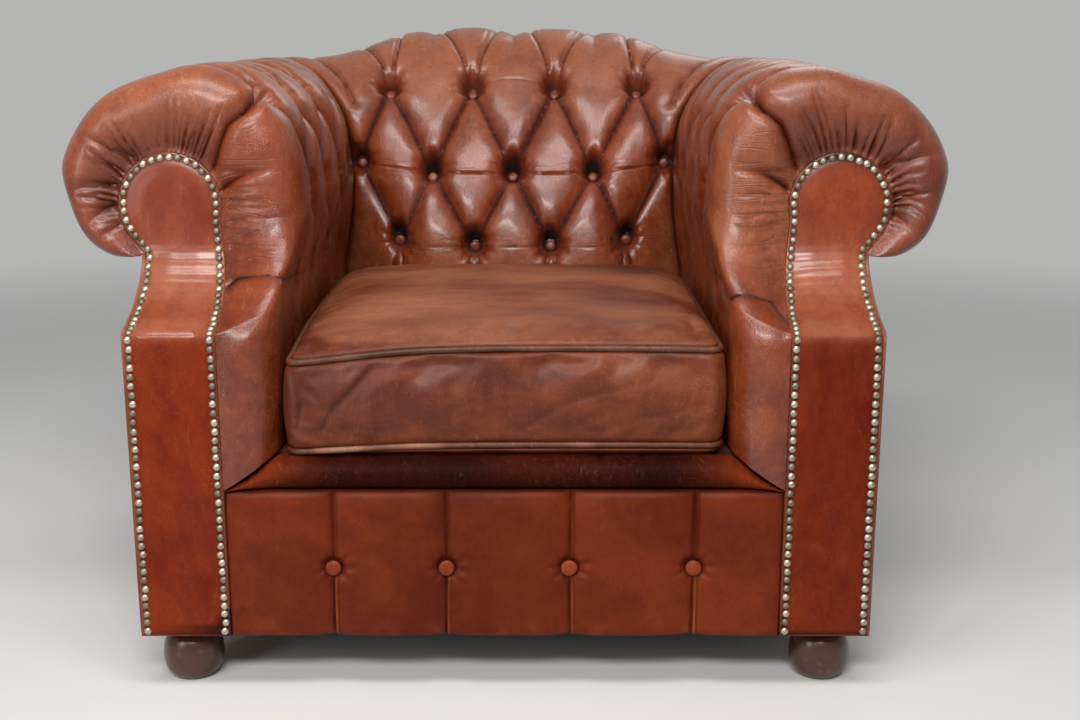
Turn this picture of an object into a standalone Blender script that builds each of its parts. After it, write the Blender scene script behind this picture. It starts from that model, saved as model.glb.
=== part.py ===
"""Worn deep-buttoned club chair with scroll arms, loose cushion and turned feet.

Metres, +Z up, the front faces -Y, the origin is on the floor under the middle of the chair.
Each object is one piece of the chair: timber frame, webbing, pads and covers, buttons, cushion, feet.
"""
import math

import bmesh
import bpy
import numpy as np
from mathutils import Matrix, Vector

for old in list(bpy.data.objects):
    bpy.data.objects.remove(old, do_unlink=True)

# ---------------------------------------------------------------- driving dimensions
GAP = 0.0003                    # clearance between pieces that touch
FRONT_Y = -0.435                # front plane of the facings
MITRE = 0.0876                  # rear corner joints lie on y = |x| - MITRE
FOOT_H = 0.069                  # height of the bun feet, and underside of the body
FOOT_R = 0.0375
FOOT_X = 0.381
FOOT_Y = 0.382
KNEE_Z = 0.433                  # where the facing stops being upright
NECK_Z = 0.507                  # where it meets the head of the scroll
KNEE_LEAN = math.radians(75)    # lean of the facing off upright, just above the knee
NECK_LEAN = math.radians(29)
HEAD_X, HEAD_Z, HEAD_R = 0.395, 0.565, 0.0615
HEAD_TURNS = (195, 168, 140, 125, 110, 95, 72, 49, 27, 5, -15, -33)   # round the head, degrees
FACING_IN, FACING_OUT = 0.3225, 0.427
NECK_IN, NECK_OUT = 0.332, 0.427
FACING_T = 0.0155
NAIL_INSET = 0.0065
NAIL_R = 0.0047
NAIL_H = 0.0034
NAIL_PITCH = 0.0110
NAIL_SIDES = 5
NAIL_BED = 0.0008               # how far the rim of a nail sits in the leather
PANEL_OUT = 0.4315              # outer face of the outside arm covers
BORDER_TOP = 0.247              # top of the front border, foot of the lip
SEAT_Z = 0.2845                 # top of the seat deck
BUTTON_R = 0.0095
BUTTON_H = 0.0075
BUTTON_BED = 0.0015             # how far a loose button sits in its dimple
STUD_BED = 0.0035               # the same for the buttons made in one with the arm pads
PITCH = 0.1225                  # spacing of the back buttons along a row
ARM_PITCH = 0.124               # spacing of the arm buttons along a row
PLEAT_DEPTH = 0.013
PLEAT_WIDTH = 0.012
DIMPLE_R = 0.021
ROW_STEPS = (3, 3, 3, 3, 4, 3)  # grid rows between foot, three button rows, crest, rim and tuck

# Arm roll section (distance from the middle of the chair, height), foot of the pad to the tuck.
ARM_SECTION = [(.2620, .290), (.2585, .350), (.2560, .410), (.2480, .460), (.2410, .515), (.2400, .570),
               (.2520, .640), (.2850, .690), (.3300, .717), (.3700, .7235), (.4100, .715), (.4550, .700),
               (.4795, .685), (.5005, .662), (.5175, .633), (.5260, .606), (.5210, .575), (.5120, .5445),
               (.4975, .519), (.4750, .500), (.4500, .490)]
ARM_STATIONS = [(.2620, .290), (.2480, .460), (.2400, .570), (.2850, .690), (.3700, .7235), (.5260, .606),
                (.4500, .490)]
# Back section at the middle of the chair (y, height).
BACK_SECTION = [(.1000, .290), (.0930, .380), (.0920, .452), (.1080, .510), (.1350, .565), (.1700, .620),
                (.2050, .670), (.2400, .715), (.2850, .752), (.3350, .7670), (.3850, .752), (.4220, .712),
                (.4384, .660), (.4310, .605), (.4050, .560), (.3720, .530)]
BACK_STATIONS = [(.1000, .290), (.0920, .452), (.1350, .565), (.2150, .683), (.3350, .7670), (.4384, .660),
                 (.3720, .530)]

# Frame side of the stuffing at the same stations: close round the arm rail and round the top rail.
ARM_CORE = [(.3100, .293), (.3100, .463), (.3340, .555), (.3450, .583), (.3900, .585), (.4240, .565),
            (.4255, .528)]
BACK_CORE = [(.1480, .290), (.1400, .452), (.1800, .540), (.2620, .583), (.3150, .587), (.3440, .568),
             (.3440, .556)]


# ---------------------------------------------------------------- materials
def material(name, colour, roughness, metallic=0.0):
    mat = bpy.data.materials.new(name)
    mat.use_nodes = True
    shader = mat.node_tree.nodes["Principled BSDF"]
    shader.inputs["Base Color"].default_value = (*colour, 1.0)
    shader.inputs["Roughness"].default_value = roughness
    shader.inputs["Metallic"].default_value = metallic
    mat.diffuse_color = (*colour, 1.0)
    return mat


LEATHER = material("tan_leather", (0.36, 0.115, 0.045), 0.42)
CUSHION_LEATHER = material("cushion_leather", (0.24, 0.085, 0.042), 0.55)
BUTTON_LEATHER = material("button_leather", (0.40, 0.12, 0.045), 0.40)
BEECH = material("beech", (0.62, 0.43, 0.25), 0.6)
WEBBING = material("webbing", (0.42, 0.33, 0.20), 0.9)
LINING = material("lining", (0.03, 0.03, 0.035), 0.95)
FOOT_WOOD = material("foot_wood", (0.085, 0.018, 0.012), 0.3)


# ---------------------------------------------------------------- mesh helpers
def add_mesh(name, verts, faces, mat, smooth=False):
    """Make a closed object from points and faces, with its faces turned outwards."""
    mesh = bpy.data.meshes.new(name)
    mesh.from_pydata([tuple(map(float, v)) for v in verts], [], faces)
    bm = bmesh.new()
    bm.from_mesh(mesh)
    bmesh.ops.recalc_face_normals(bm, faces=bm.faces)
    bm.to_mesh(mesh)
    bm.free()
    mesh.materials.append(mat)
    if smooth:
        mesh.shade_smooth()
    obj = bpy.data.objects.new(name, mesh)
    bpy.context.collection.objects.link(obj)
    return obj


def box(name, x, y, z, mat):
    """A straight-edged board between two corners."""
    verts = [(a, b, c) for a in x for b in y for c in z]
    faces = [(0, 1, 3, 2), (4, 6, 7, 5), (0, 4, 5, 1), (2, 3, 7, 6), (0, 2, 6, 4), (1, 5, 7, 3)]
    return add_mesh(name, verts, faces, mat)


def prism(name, near, far, mat):
    """A solid between two outlines with the same number of points."""
    n = len(near)
    faces = [tuple(range(n)), tuple(range(n, 2 * n))]
    faces += [(k, (k + 1) % n, n + (k + 1) % n, n + k) for k in range(n)]
    return add_mesh(name, near + far, faces, mat)


def ring_walls(rings, n):
    """Faces between neighbouring rings of n points each."""
    return [(r * n + k, r * n + (k + 1) % n, (r + 1) * n + (k + 1) % n, (r + 1) * n + k)
            for r in range(rings - 1) for k in range(n)]


def mirrored(span, side):
    """The same x span on the left (-1) or the right (+1) of the chair."""
    return sorted(side * value for value in span)


def smooth_curve(points, per_span=10):
    """Catmull-Rom curve through the points, sampled evenly enough to measure along."""
    p = np.array(points, float)
    p = np.vstack([2 * p[0] - p[1], p, 2 * p[-1] - p[-2]])
    out = []
    for k in range(1, len(p) - 2):
        a, b, c, d = p[k - 1], p[k], p[k + 1], p[k + 2]
        for t in np.arange(per_span) / per_span:
            out.append(0.5 * (2 * b + (c - a) * t + (2 * a - 5 * b + 4 * c - d) * t ** 2
                              + (3 * b - a - 3 * c + d) * t ** 3))
    out.append(p[-2])
    return np.array(out)


def rows_along(section, stations):
    """Points and outward normals of a section, with ROW_STEPS rows between its stations."""
    curve = smooth_curve(section)
    length = np.concatenate([[0], np.cumsum(np.linalg.norm(np.diff(curve, axis=0), axis=1))])
    marks = [length[np.argmin(np.linalg.norm(curve - np.array(s), axis=1))] for s in stations]
    at = [marks[0]]
    for k, steps in enumerate(ROW_STEPS):
        at += list(marks[k] + (marks[k + 1] - marks[k]) * np.arange(1, steps + 1) / steps)
    at = np.array(at)

    def read(along):
        return np.stack([np.interp(along, length, curve[:, c]) for c in (0, 1)], axis=1)

    reach = 0.004
    tangent = read(np.minimum(at + reach, length[-1])) - read(np.maximum(at - reach, 0))
    tangent /= np.linalg.norm(tangent, axis=1)[:, None]
    normal = np.stack([-tangent[:, 1], tangent[:, 0]], axis=1)   # left of the way up: towards the sitter
    return read(at), normal, at


def between(a, b, verts):
    """Triangles that join two rows of vertex numbers, always across the shorter way."""
    def apart(p, q):
        return float(np.linalg.norm(np.array(verts[p]) - np.array(verts[q])))

    faces, i, j = [], 0, 0
    while i < len(a) - 1 or j < len(b) - 1:
        along_a = apart(a[i + 1], b[j]) if i < len(a) - 1 else math.inf
        along_b = apart(a[i], b[j + 1]) if j < len(b) - 1 else math.inf
        if along_a <= along_b:
            faces.append((a[i], a[i + 1], b[j]))
            i += 1
        else:
            faces.append((a[i], b[j + 1], b[j]))
            j += 1
    return faces


def thick_sheet(name, outer, depth, inner, mat):
    """A pad as one closed solid: an outer grid, a coarser grid on the frame side, and the walls between.

    Each square of the outer grid is split along its deeper diagonal, so that the pleats stay crisp.
    """
    rows, cols = outer.shape[:2]
    in_rows, in_cols = inner.shape[:2]
    verts = list(outer.reshape(-1, 3)) + list(inner.reshape(-1, 3))
    a = np.arange(rows * cols).reshape(rows, cols)
    b = rows * cols + np.arange(in_rows * in_cols).reshape(in_rows, in_cols)
    faces = []
    for j in range(rows - 1):
        for i in range(cols - 1):
            q = [a[j, i], a[j, i + 1], a[j + 1, i + 1], a[j + 1, i]]
            if depth[j, i] + depth[j + 1, i + 1] >= depth[j, i + 1] + depth[j + 1, i]:
                faces += [(q[0], q[1], q[2]), (q[0], q[2], q[3])]
            else:
                faces += [(q[0], q[1], q[3]), (q[1], q[2], q[3])]
    for j in range(in_rows - 1):
        for i in range(in_cols - 1):
            q = [b[j, i], b[j, i + 1], b[j + 1, i + 1], b[j + 1, i]]
            faces += [(q[0], q[2], q[1]), (q[0], q[3], q[2])]
    for line_a, line_b in ((a[0], b[0]), (a[-1], b[-1]), (a[:, 0], b[:, 0]), (a[:, -1], b[:, -1])):
        faces += between(list(line_a), list(line_b), verts)
    return add_mesh(name, verts, [tuple(int(n) for n in f) for f in faces], mat)


def to_segment(p, a, b):
    """Distance from a point to a straight stretch in the plane of the cover."""
    a, b, p = (np.array(q, float) for q in (a, b, p))
    t = np.clip(np.dot(p - a, b - a) / np.dot(b - a, b - a), 0, 1)
    return float(np.linalg.norm(p - a - t * (b - a)))


def boolean(obj, tool, operation):
    """Cut or join with an exact Boolean, applied at once, and remove the tool."""
    mod = obj.modifiers.new(operation.lower(), "BOOLEAN")
    mod.operation = operation
    mod.solver = "EXACT"
    mod.object = tool
    graph = bpy.context.evaluated_depsgraph_get()
    mesh = bpy.data.meshes.new_from_object(obj.evaluated_get(graph))
    obj.modifiers.clear()
    obj.data = mesh
    bpy.data.objects.remove(tool, do_unlink=True)


def turned(name, profile, sides, mat, place):
    """A solid of revolution about z from (radius, height) pairs that start and end on the axis."""
    verts, faces, rings = [], [], []
    for r, z in profile:
        if r == 0:
            rings.append([len(verts)])
            verts.append(place @ Vector((0, 0, z)))
        else:
            rings.append(list(range(len(verts), len(verts) + sides)))
            for k in range(sides):
                turn = math.tau * (k + 0.5) / sides
                verts.append(place @ Vector((r * math.cos(turn), r * math.sin(turn), z)))
    for low, high in zip(rings, rings[1:]):
        for k in range(sides):
            n = (k + 1) % sides
            if len(low) == 1:
                faces.append((low[0], high[k], high[n]))
            elif len(high) == 1:
                faces.append((low[k], low[n], high[0]))
            else:
                faces.append((low[k], low[n], high[n], high[k]))
    return add_mesh(name, verts, faces, mat)


def facing_y(z):
    """Depth of the front face at a height: upright, then a sweep back that gets steeper, then upright."""
    if z <= KNEE_Z:
        return FRONT_Y
    lean = KNEE_LEAN + (NECK_LEAN - KNEE_LEAN) * (min(z, NECK_Z) - KNEE_Z) / (NECK_Z - KNEE_Z)
    sweep = (NECK_Z - KNEE_Z) / (KNEE_LEAN - NECK_LEAN) * math.log(math.cos(lean) / math.cos(KNEE_LEAN))
    return FRONT_Y + sweep + 0.06 * max(0.0, z - NECK_Z)


def facing_rim(grow):
    """Rim of the facing (x, z), one point for each row of the arm pad, from the inner side over the head.

    The lower side is straight, the sweep narrows to the neck, and the head is an arc.
    """
    def mix(t, low, high):
        return low + t * (high - low)

    foot = BORDER_TOP + 0.003
    rim = [(FACING_IN - grow, mix(t, foot, KNEE_Z)) for t in (0, 0.35, 0.7, 1)]
    rim += [(mix(t, FACING_IN, NECK_IN) - grow, mix(t, KNEE_Z, NECK_Z)) for t in (1 / 3, 2 / 3, 1)]
    for turn in HEAD_TURNS:
        a = math.radians(turn)
        rim.append((HEAD_X + (HEAD_R + grow) * math.cos(a), HEAD_Z + (HEAD_R + grow) * math.sin(a)))
    rim.append((NECK_OUT + grow, NECK_Z))
    return rim


# ---------------------------------------------------------------- timber frame
KNEE_ROW, NECK_ROW = 3, 6       # rows of the rim at the knee and at the inner neck
RAIL_T = 0.028
RAIL_TOP = 0.1895
POST_IN, POST_OUT = 0.345, 0.415
POST_FRONT_Y = FRONT_Y + FACING_T + GAP
POST_REAR_Y = -0.250
BACK_POST_Y = (0.2540, 0.3240)
ARM_RAIL_Z = (0.500, 0.565)
BACK_POST_TOP = ARM_RAIL_Z[1]
HEAD_BACK_Y = facing_y(HEAD_Z) + FACING_T
BODY_Z = FOOT_H + 0.0005


def front_post(name, side):
    """Bandsawn front post: deep behind the upright facing, narrow behind the sweep."""
    outline = [(POST_FRONT_Y, BODY_Z), (POST_FRONT_Y, KNEE_Z - 0.02), (-0.300, KNEE_Z + 0.002),
               (-0.300, ARM_RAIL_Z[0] - GAP), (POST_REAR_Y, ARM_RAIL_Z[0] - GAP), (POST_REAR_Y, BODY_Z)]
    near, far = ([(side * x, y, z) for y, z in outline] for x in (POST_IN, POST_OUT))
    return prism(name, near, far, BEECH)


SIDES = (("left", -1), ("right", 1))
for word, side in SIDES:
    front_post(f"front_post_{word}", side)
    box(f"back_post_{word}", mirrored((POST_IN, POST_OUT), side), BACK_POST_Y, (BODY_Z, BACK_POST_TOP), BEECH)
    box(f"seat_rail_{word}", mirrored((0.366, 0.366 + RAIL_T), side),
        (POST_REAR_Y + GAP, BACK_POST_Y[0] - GAP), (BODY_Z, RAIL_TOP), BEECH)
    box(f"arm_rail_{word}", mirrored((POST_IN, POST_OUT), side),
        (HEAD_BACK_Y + 0.002, BACK_POST_Y[0] - GAP), ARM_RAIL_Z, BEECH)
RAIL_END = POST_IN - GAP
box("seat_rail_front", (-RAIL_END, RAIL_END), (POST_FRONT_Y, POST_FRONT_Y + RAIL_T),
    (BODY_Z, RAIL_TOP), BEECH)
box("seat_rail_back", (-RAIL_END, RAIL_END), (BACK_POST_Y[0] + 0.02, BACK_POST_Y[0] + 0.02 + RAIL_T),
    (BODY_Z, RAIL_TOP), BEECH)
box("back_top_rail", (-RAIL_END, RAIL_END), (0.285, 0.330), (BACK_POST_TOP - 0.055, BACK_POST_TOP), BEECH)

# ---------------------------------------------------------------- webbing, deck, linings
WEB_T = 0.002
WEB_W = 0.050
for k, x in enumerate((-0.21, -0.07, 0.07, 0.21)):
    box(f"long_webbing_{k + 1}", (x - WEB_W / 2, x + WEB_W / 2),
        (POST_FRONT_Y + 0.003, BACK_POST_Y[0] + 0.045), (RAIL_TOP + GAP, RAIL_TOP + GAP + WEB_T), WEBBING)
CROSS_Z = RAIL_TOP + 2 * GAP + WEB_T
for k, y in enumerate((-0.17, -0.01, 0.15)):
    box(f"cross_webbing_{k + 1}", (-0.390, 0.390), (y - WEB_W / 2, y + WEB_W / 2),
        (CROSS_Z, CROSS_Z + WEB_T), WEBBING)
DECK_FRONT_Y = -0.3845
box("seat_deck", (-0.335, 0.335), (DECK_FRONT_Y, 0.200), (CROSS_Z + WEB_T + GAP, SEAT_Z), LINING)
box("dust_cover", (-0.335, 0.335), (-0.405, 0.290), (FOOT_H - 0.0015, BODY_Z - GAP), LINING)

# ---------------------------------------------------------------- pads: shared section rows
ARM_ROWS, ARM_NORMALS, ARM_T = rows_along(ARM_SECTION, ARM_STATIONS)
BACK_ROWS, BACK_NORMALS, BACK_T = rows_along(BACK_SECTION, BACK_STATIONS)
LOW, MID, TOP, CREST, RIM, TUCK = np.cumsum(ROW_STEPS)
ROWS = TUCK + 1


def core_rows(core):
    """One point of the stuffing's frame side for each row, straight between the stations."""
    marks = [0, *np.cumsum(ROW_STEPS)]
    rows = range(ROWS)
    return np.stack([np.interp(rows, marks, [p[c] for p in core]) for c in (0, 1)], axis=1)


ARM_INNER, BACK_INNER = core_rows(ARM_CORE), core_rows(BACK_CORE)


def depth_at(s, t, buttons, pleats):
    """How far the cover is pulled in at a point: buttons make pits and pleats make creases."""
    depth = 0.0
    for bs, bt, pull in buttons:
        depth = max(depth, pull * math.exp(-((s - bs) ** 2 + (t - bt) ** 2) / DIMPLE_R ** 2))
    for start, end, pull in pleats:
        depth = max(depth, pull * math.exp(-(to_segment((s, t), start, end) / PLEAT_WIDTH) ** 2))
    return depth


def seat(pad, floor, normal):
    """Cut the flat-bottomed seat of a button, and give where the button's underside lies."""
    turn = Vector(normal).to_track_quat("Z", "Y").to_matrix().to_4x4()
    place = Matrix.Translation(Vector(floor) - BUTTON_BED * Vector(normal)) @ turn
    radius, reach = BUTTON_R + GAP, 0.060
    tool = turned("seat_tool", [(0, 0), (radius, 0), (radius, reach), (0, reach)], 8, LEATHER, place)
    boolean(pad, tool, "DIFFERENCE")
    return place @ Matrix.Translation((0, 0, GAP))


def button(name, place, sides=8):
    """A covered button: a short rim under a low dome."""
    profile = [(0, 0), (BUTTON_R, 0), (BUTTON_R, 0.35 * BUTTON_H), (0.72 * BUTTON_R, 0.82 * BUTTON_H),
               (0, BUTTON_H)]
    return turned(name, profile, sides, BUTTON_LEATHER, place)


# ---------------------------------------------------------------- inside back
BACK_FIXED = 9                  # columns each side of the middle that keep the button spacing
BACK_SPREAD = 6                 # columns from there to the mitre joint
ROW_WIDTH = np.interp(np.arange(ROWS), [0, LOW, MID, TOP], [0.93, 0.93, 0.99, 1.03])


def back_point(row, column, pull, core=False):
    """A point of the inside back: row up the section, column across, pulled in by a depth."""
    corner = ARM_INNER[row] if core else ARM_ROWS[row]
    middle = BACK_INNER[row] if core else BACK_ROWS[row]
    x_end = corner[0] - GAP
    side = -1 if column < 0 else 1
    step = abs(column)
    fixed = ROW_WIDTH[row] * PITCH / 6 * min(step, BACK_FIXED)
    x = fixed
    if step > BACK_FIXED:
        x = fixed + (x_end - fixed) * (step - BACK_FIXED) / BACK_SPREAD
    t = min(1.0, max(0.0, (x - 0.12) / (min(x_end, 0.31) - 0.12)))
    w = t * t * (3 - 2 * t)
    y = (1 - w) * middle[0] + w * (corner[0] - MITRE)
    z = (1 - w) * middle[1] + w * corner[1]
    normal = (1 - w) * BACK_NORMALS[row] + w * ARM_NORMALS[row]
    normal = Vector((0, normal[0], normal[1])).normalized()
    return Vector((side * x, y, z)) - float(pull) * normal, normal, side * x


def inside_back():
    """The deep-buttoned back: diamonds between three rows of buttons, and pleats over the roll."""
    corner_col = BACK_FIXED + BACK_SPREAD - 1
    spots = [(LOW, c, 0.026) for c in (-9, -3, 3, 9)]
    spots += [(MID, c, 0.030) for c in (-corner_col, -6, 0, 6, corner_col)]
    spots += [(TOP, c, 0.022) for c in (-9, -3, 3, 9)]
    at = [(back_point(row, col, 0)[2], BACK_T[row], pull) for row, col, pull in spots]
    low, mid, top = at[:4], at[4:9], at[9:]
    pleats = [(a[:2], b[:2], PLEAT_DEPTH) for k, a in enumerate(low) for b in mid[k:k + 2]]
    pleats += [(a[:2], b[:2], PLEAT_DEPTH) for k, a in enumerate(top) for b in mid[k:k + 2]]
    pleats += [(a[:2], (a[0], BACK_T[0]), 0.7 * PLEAT_DEPTH) for a in low]
    pleats += [(a[:2], (a[0] * 1.03, BACK_T[CREST + 1]), 0.5 * PLEAT_DEPTH) for a in top]
    last = BACK_FIXED + BACK_SPREAD
    columns = range(-last, last + 1)
    outer = np.zeros((ROWS, len(columns), 3))
    depth = np.zeros((ROWS, len(columns)))
    for row in range(ROWS):
        for i, col in enumerate(columns):
            x = back_point(row, col, 0)[2]
            if abs(col) < last:
                depth[row, i] = depth_at(x, BACK_T[row], at, pleats)
            outer[row, i] = back_point(row, col, depth[row, i])[0]
    hidden = (-last, -12, -9, -6, -3, 0, 3, 6, 9, 12, last)
    inner = np.array([[back_point(row, col, 0, core=True)[0] for col in hidden] for row in range(ROWS)])
    pad = thick_sheet("inside_back", outer, depth, inner, LEATHER)
    for k, (row, col, pull) in enumerate(spots):
        floor, normal, _ = back_point(row, col, pull)
        button(f"back_button_{k + 1:02d}", seat(pad, floor, normal))


inside_back()

# ---------------------------------------------------------------- inside arms
ARM_FIRST_Y = 0.105             # rearmost button of the top row
ARM_STEP = ARM_PITCH / 6
REAR_COLS, MAIN_COLS, FRONT_COLS, CAP_COLS = 3, 18, 3, 5
ARM_COLS = REAR_COLS + MAIN_COLS + FRONT_COLS + CAP_COLS
RIM_POINTS = facing_rim(GAP)
END_LOW, END_HIGH = -0.375, -0.285      # where the side turns into the front, below and above the arm rest
BULGE_LOW, BULGE_HIGH = 0.008, 0.030    # how far the front bulges there
CAP_RUN = 0.10                          # length of the front end when pleats are laid out


def arm_end(row):
    """Where the side of the pad turns into its front end, and how far that end bulges forward."""
    t = min(1.0, max(0.0, (row - LOW) / (MID - LOW)))
    return END_LOW + t * (END_HIGH - END_LOW), BULGE_LOW + t * (BULGE_HIGH - BULGE_LOW)


def arm_point(row, column):
    """A point of the inside arm: column 0 is on the mitre joint and the last column on the facing's rim."""
    section = ARM_ROWS[row]
    normal = Vector((ARM_NORMALS[row][0], 0, ARM_NORMALS[row][1]))
    end_y, bulge = arm_end(row)
    rear_y = section[0] - MITRE - GAP
    body = REAR_COLS + MAIN_COLS
    if column <= REAR_COLS:
        y = rear_y + (min(ARM_FIRST_Y, rear_y - 0.006) - rear_y) * column / REAR_COLS
    elif column <= body:
        first = min(ARM_FIRST_Y, rear_y - 0.006)
        y = first + (ARM_FIRST_Y - ARM_PITCH * 3 - first) * (column - REAR_COLS) / MAIN_COLS
    else:
        last = ARM_FIRST_Y - ARM_PITCH * 3
        y = last + (end_y - last) * min(1.0, (column - body) / FRONT_COLS)
    if column <= body + FRONT_COLS:
        return Vector((section[0], y, section[1])), normal, y
    k = (column - body - FRONT_COLS) / CAP_COLS
    turn = k * math.pi / 2
    rim = RIM_POINTS[row]
    x = rim[0] + (section[0] - rim[0]) * math.cos(turn)
    z = rim[1] + (section[1] - rim[1]) * math.cos(turn)
    y = end_y + (facing_y(rim[1]) - end_y) * math.sin(turn) - bulge * math.sin(2 * turn)
    normal = (normal * math.cos(turn) + Vector((0, -1, 0)) * math.sin(turn)).normalized()
    return Vector((x, y, z)), normal, end_y - CAP_RUN * k


def arm_y(row, column):
    return arm_point(row, column)[2]


def inside_arm(word, side):
    """The buttoned arm pad that rolls over the arm rail and closes round the facing."""
    spots = [(TOP, REAR_COLS + c, 0.030) for c in (0, 6, 12, 18)]
    spots += [(MID, REAR_COLS + c, 0.024) for c in (3, 9, 15)]
    spots += [(LOW, REAR_COLS + c, 0.020) for c in (6, 12, 18)]
    at = [(arm_y(row, col), ARM_T[row], pull) for row, col, pull in spots]
    top, mid, low = at[:4], at[4:7], at[7:]
    pleats = [(a[:2], b[:2], PLEAT_DEPTH) for k, b in enumerate(mid) for a in top[k:k + 2]]
    pleats += [(b[:2], a[:2], PLEAT_DEPTH) for k, a in enumerate(low) for b in mid[k:k + 2]]
    pleats += [(mid[0][:2], (ARM_FIRST_Y, ARM_T[LOW]), PLEAT_DEPTH)]
    pleats += [(a[:2], (a[0], ARM_T[0]), 0.6 * PLEAT_DEPTH) for a in low]
    pleats += [(a[:2], (a[0], ARM_T[RIM]), 0.5 * PLEAT_DEPTH) for a in top]
    pleats += [(low[-1][:2], (-0.50, ARM_T[LOW]), 0.7 * PLEAT_DEPTH)]
    pleats += [(top[-1][:2], (-0.50, ARM_T[TOP] + 0.01), 0.5 * PLEAT_DEPTH)]
    outer = np.zeros((ROWS, ARM_COLS + 1, 3))
    depth = np.zeros((ROWS, ARM_COLS + 1))
    for row in range(ROWS):
        for col in range(ARM_COLS + 1):
            point, normal, s = arm_point(row, col)
            if 0 < col < ARM_COLS:
                fade = min(1.0, (ARM_COLS - col) / 2.5)
                depth[row, col] = fade * depth_at(s, ARM_T[row], at, pleats)
            outer[row, col] = point - float(depth[row, col]) * normal
    inner = np.zeros((ROWS, 6, 3))
    for row in range(ROWS):
        rim = Vector((RIM_POINTS[row][0], facing_y(RIM_POINTS[row][1]) + FACING_T, RIM_POINTS[row][1]))
        deep = ARM_INNER[row]
        rear_y = deep[0] - MITRE - GAP
        front_y = rim.y + 0.012
        for k, t in enumerate((0, 0.35, 0.7, 1)):
            inner[row, k] = (deep[0], rear_y + (front_y + 0.03 - rear_y) * t, deep[1])
        inner[row, 4] = (rim.x + 0.6 * (deep[0] - rim.x), front_y, rim.z + 0.6 * (deep[1] - rim.z))
        inner[row, 5] = rim
    outer[:, :, 0] *= side
    inner[:, :, 0] *= side
    pad = thick_sheet(f"inside_arm_{word}", outer, depth, inner, LEATHER)
    for row, col, pull in spots:
        point, normal, _ = arm_point(row, col)
        floor = point - pull * normal
        floor.x *= side
        normal.x *= side
        turn = normal.to_track_quat("Z", "Y").to_matrix().to_4x4()
        stud = button("arm_button", Matrix.Translation(floor - STUD_BED * normal) @ turn, sides=7)
        boolean(pad, stud, "UNION")


for word, side in SIDES:
    inside_arm(word, side)


# ---------------------------------------------------------------- facings with their nails
def facing_outline():
    """The facing's edge from its inner foot, over the head, to its outer foot."""
    rim = facing_rim(0.0)
    outer = [(FACING_OUT, rim[row][1]) for row in range(NECK_ROW - 1, KNEE_ROW - 1, -1)]
    return [(FACING_IN, FOOT_H)] + rim + outer + [(FACING_OUT, FOOT_H)]


def extrude_back(name, outline, thickness, faces, mat):
    """A plate whose front follows the sweep of the facing and whose back lies a thickness behind."""
    n = len(outline)
    front = [(x, facing_y(z), z) for x, z in outline]
    back = [(x, facing_y(z) + thickness, z) for x, z in outline]
    all_faces = [tuple(f) for f in faces] + [tuple(n + k for k in f) for f in faces]
    all_faces += [(k, (k + 1) % n, n + (k + 1) % n, n + k) for k in range(n)]
    return add_mesh(name, front + back, all_faces, mat)


def nail_places():
    """Nail centres at an even pitch along a line just inside the facing's edge."""
    inset_r = HEAD_R - NAIL_INSET
    arc = [math.radians(a) for a in range(195, -34, -3)]
    line = [(FACING_IN + NAIL_INSET, FOOT_H + 0.007), (FACING_IN + NAIL_INSET, KNEE_Z)]
    steps = np.linspace(0, 1, 12)[1:]
    line += [(FACING_IN + NAIL_INSET + t * (NECK_IN - FACING_IN), KNEE_Z + t * (NECK_Z - KNEE_Z))
             for t in steps]
    line += [(HEAD_X + inset_r * math.cos(a), HEAD_Z + inset_r * math.sin(a)) for a in arc]
    line += [(FACING_OUT - NAIL_INSET, NECK_Z - t * (NECK_Z - KNEE_Z)) for t in np.linspace(0, 1, 12)]
    line += [(FACING_OUT - NAIL_INSET, FOOT_H + 0.007)]
    points = np.array([(x, facing_y(z), z) for x, z in line])
    length = np.concatenate([[0], np.cumsum(np.linalg.norm(np.diff(points, axis=0), axis=1))])
    count = round(length[-1] / NAIL_PITCH)
    for s in np.linspace(0, length[-1], count + 1):
        yield Vector([np.interp(s, length, points[:, c]) for c in range(3)])


def nail_mesh(side):
    """All the nails of one facing as low five-sided domes, each closed, set into the leather."""
    verts, faces = [], []
    for centre in nail_places():
        rise = (facing_y(centre.z + 0.001) - facing_y(centre.z - 0.001)) / 0.002
        normal = Vector((0, -1, rise)).normalized()
        across = Vector((1, 0, 0))
        up = normal.cross(across)
        base = len(verts)
        for k in range(NAIL_SIDES):
            turn = math.tau * k / NAIL_SIDES
            point = centre + NAIL_R * (math.cos(turn) * across + math.sin(turn) * up) - NAIL_BED * normal
            verts.append((side * point.x, point.y, point.z))
        top = centre + NAIL_H * normal
        verts.append((side * top.x, top.y, top.z))
        faces += [(base + k, base + (k + 1) % NAIL_SIDES, base + NAIL_SIDES) for k in range(NAIL_SIDES)]
        faces.append(tuple(base + k for k in reversed(range(NAIL_SIDES))))
    return verts, faces


def facing(word, side):
    """Upholstered front of the arm: upright below, swept back to a round head, nailed along both edges."""
    outline = [(side * x, z) for x, z in facing_outline()]
    knee, neck, neck_out, last = 1 + KNEE_ROW, 1 + NECK_ROW, len(facing_rim(0.0)), len(outline) - 1
    faces = [tuple(range(knee + 1)) + (last - 1, last)]
    for k in range(neck - knee):
        faces.append((knee + k, knee + k + 1, last - 2 - k, last - 1 - k))
    faces.append(tuple(range(neck, neck_out + 1)))
    plate = extrude_back(f"facing_{word}", outline, FACING_T, faces, LEATHER)
    nails = add_mesh("nails", *nail_mesh(side), LEATHER)
    boolean(plate, nails, "UNION")


for word, side in SIDES:
    facing(word, side)

# ---------------------------------------------------------------- outside covers
OUTSIDE_TOP = 0.515
OUTSIDE_BACK_Y = 0.3453
OUTSIDE_T = 0.0042


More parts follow.
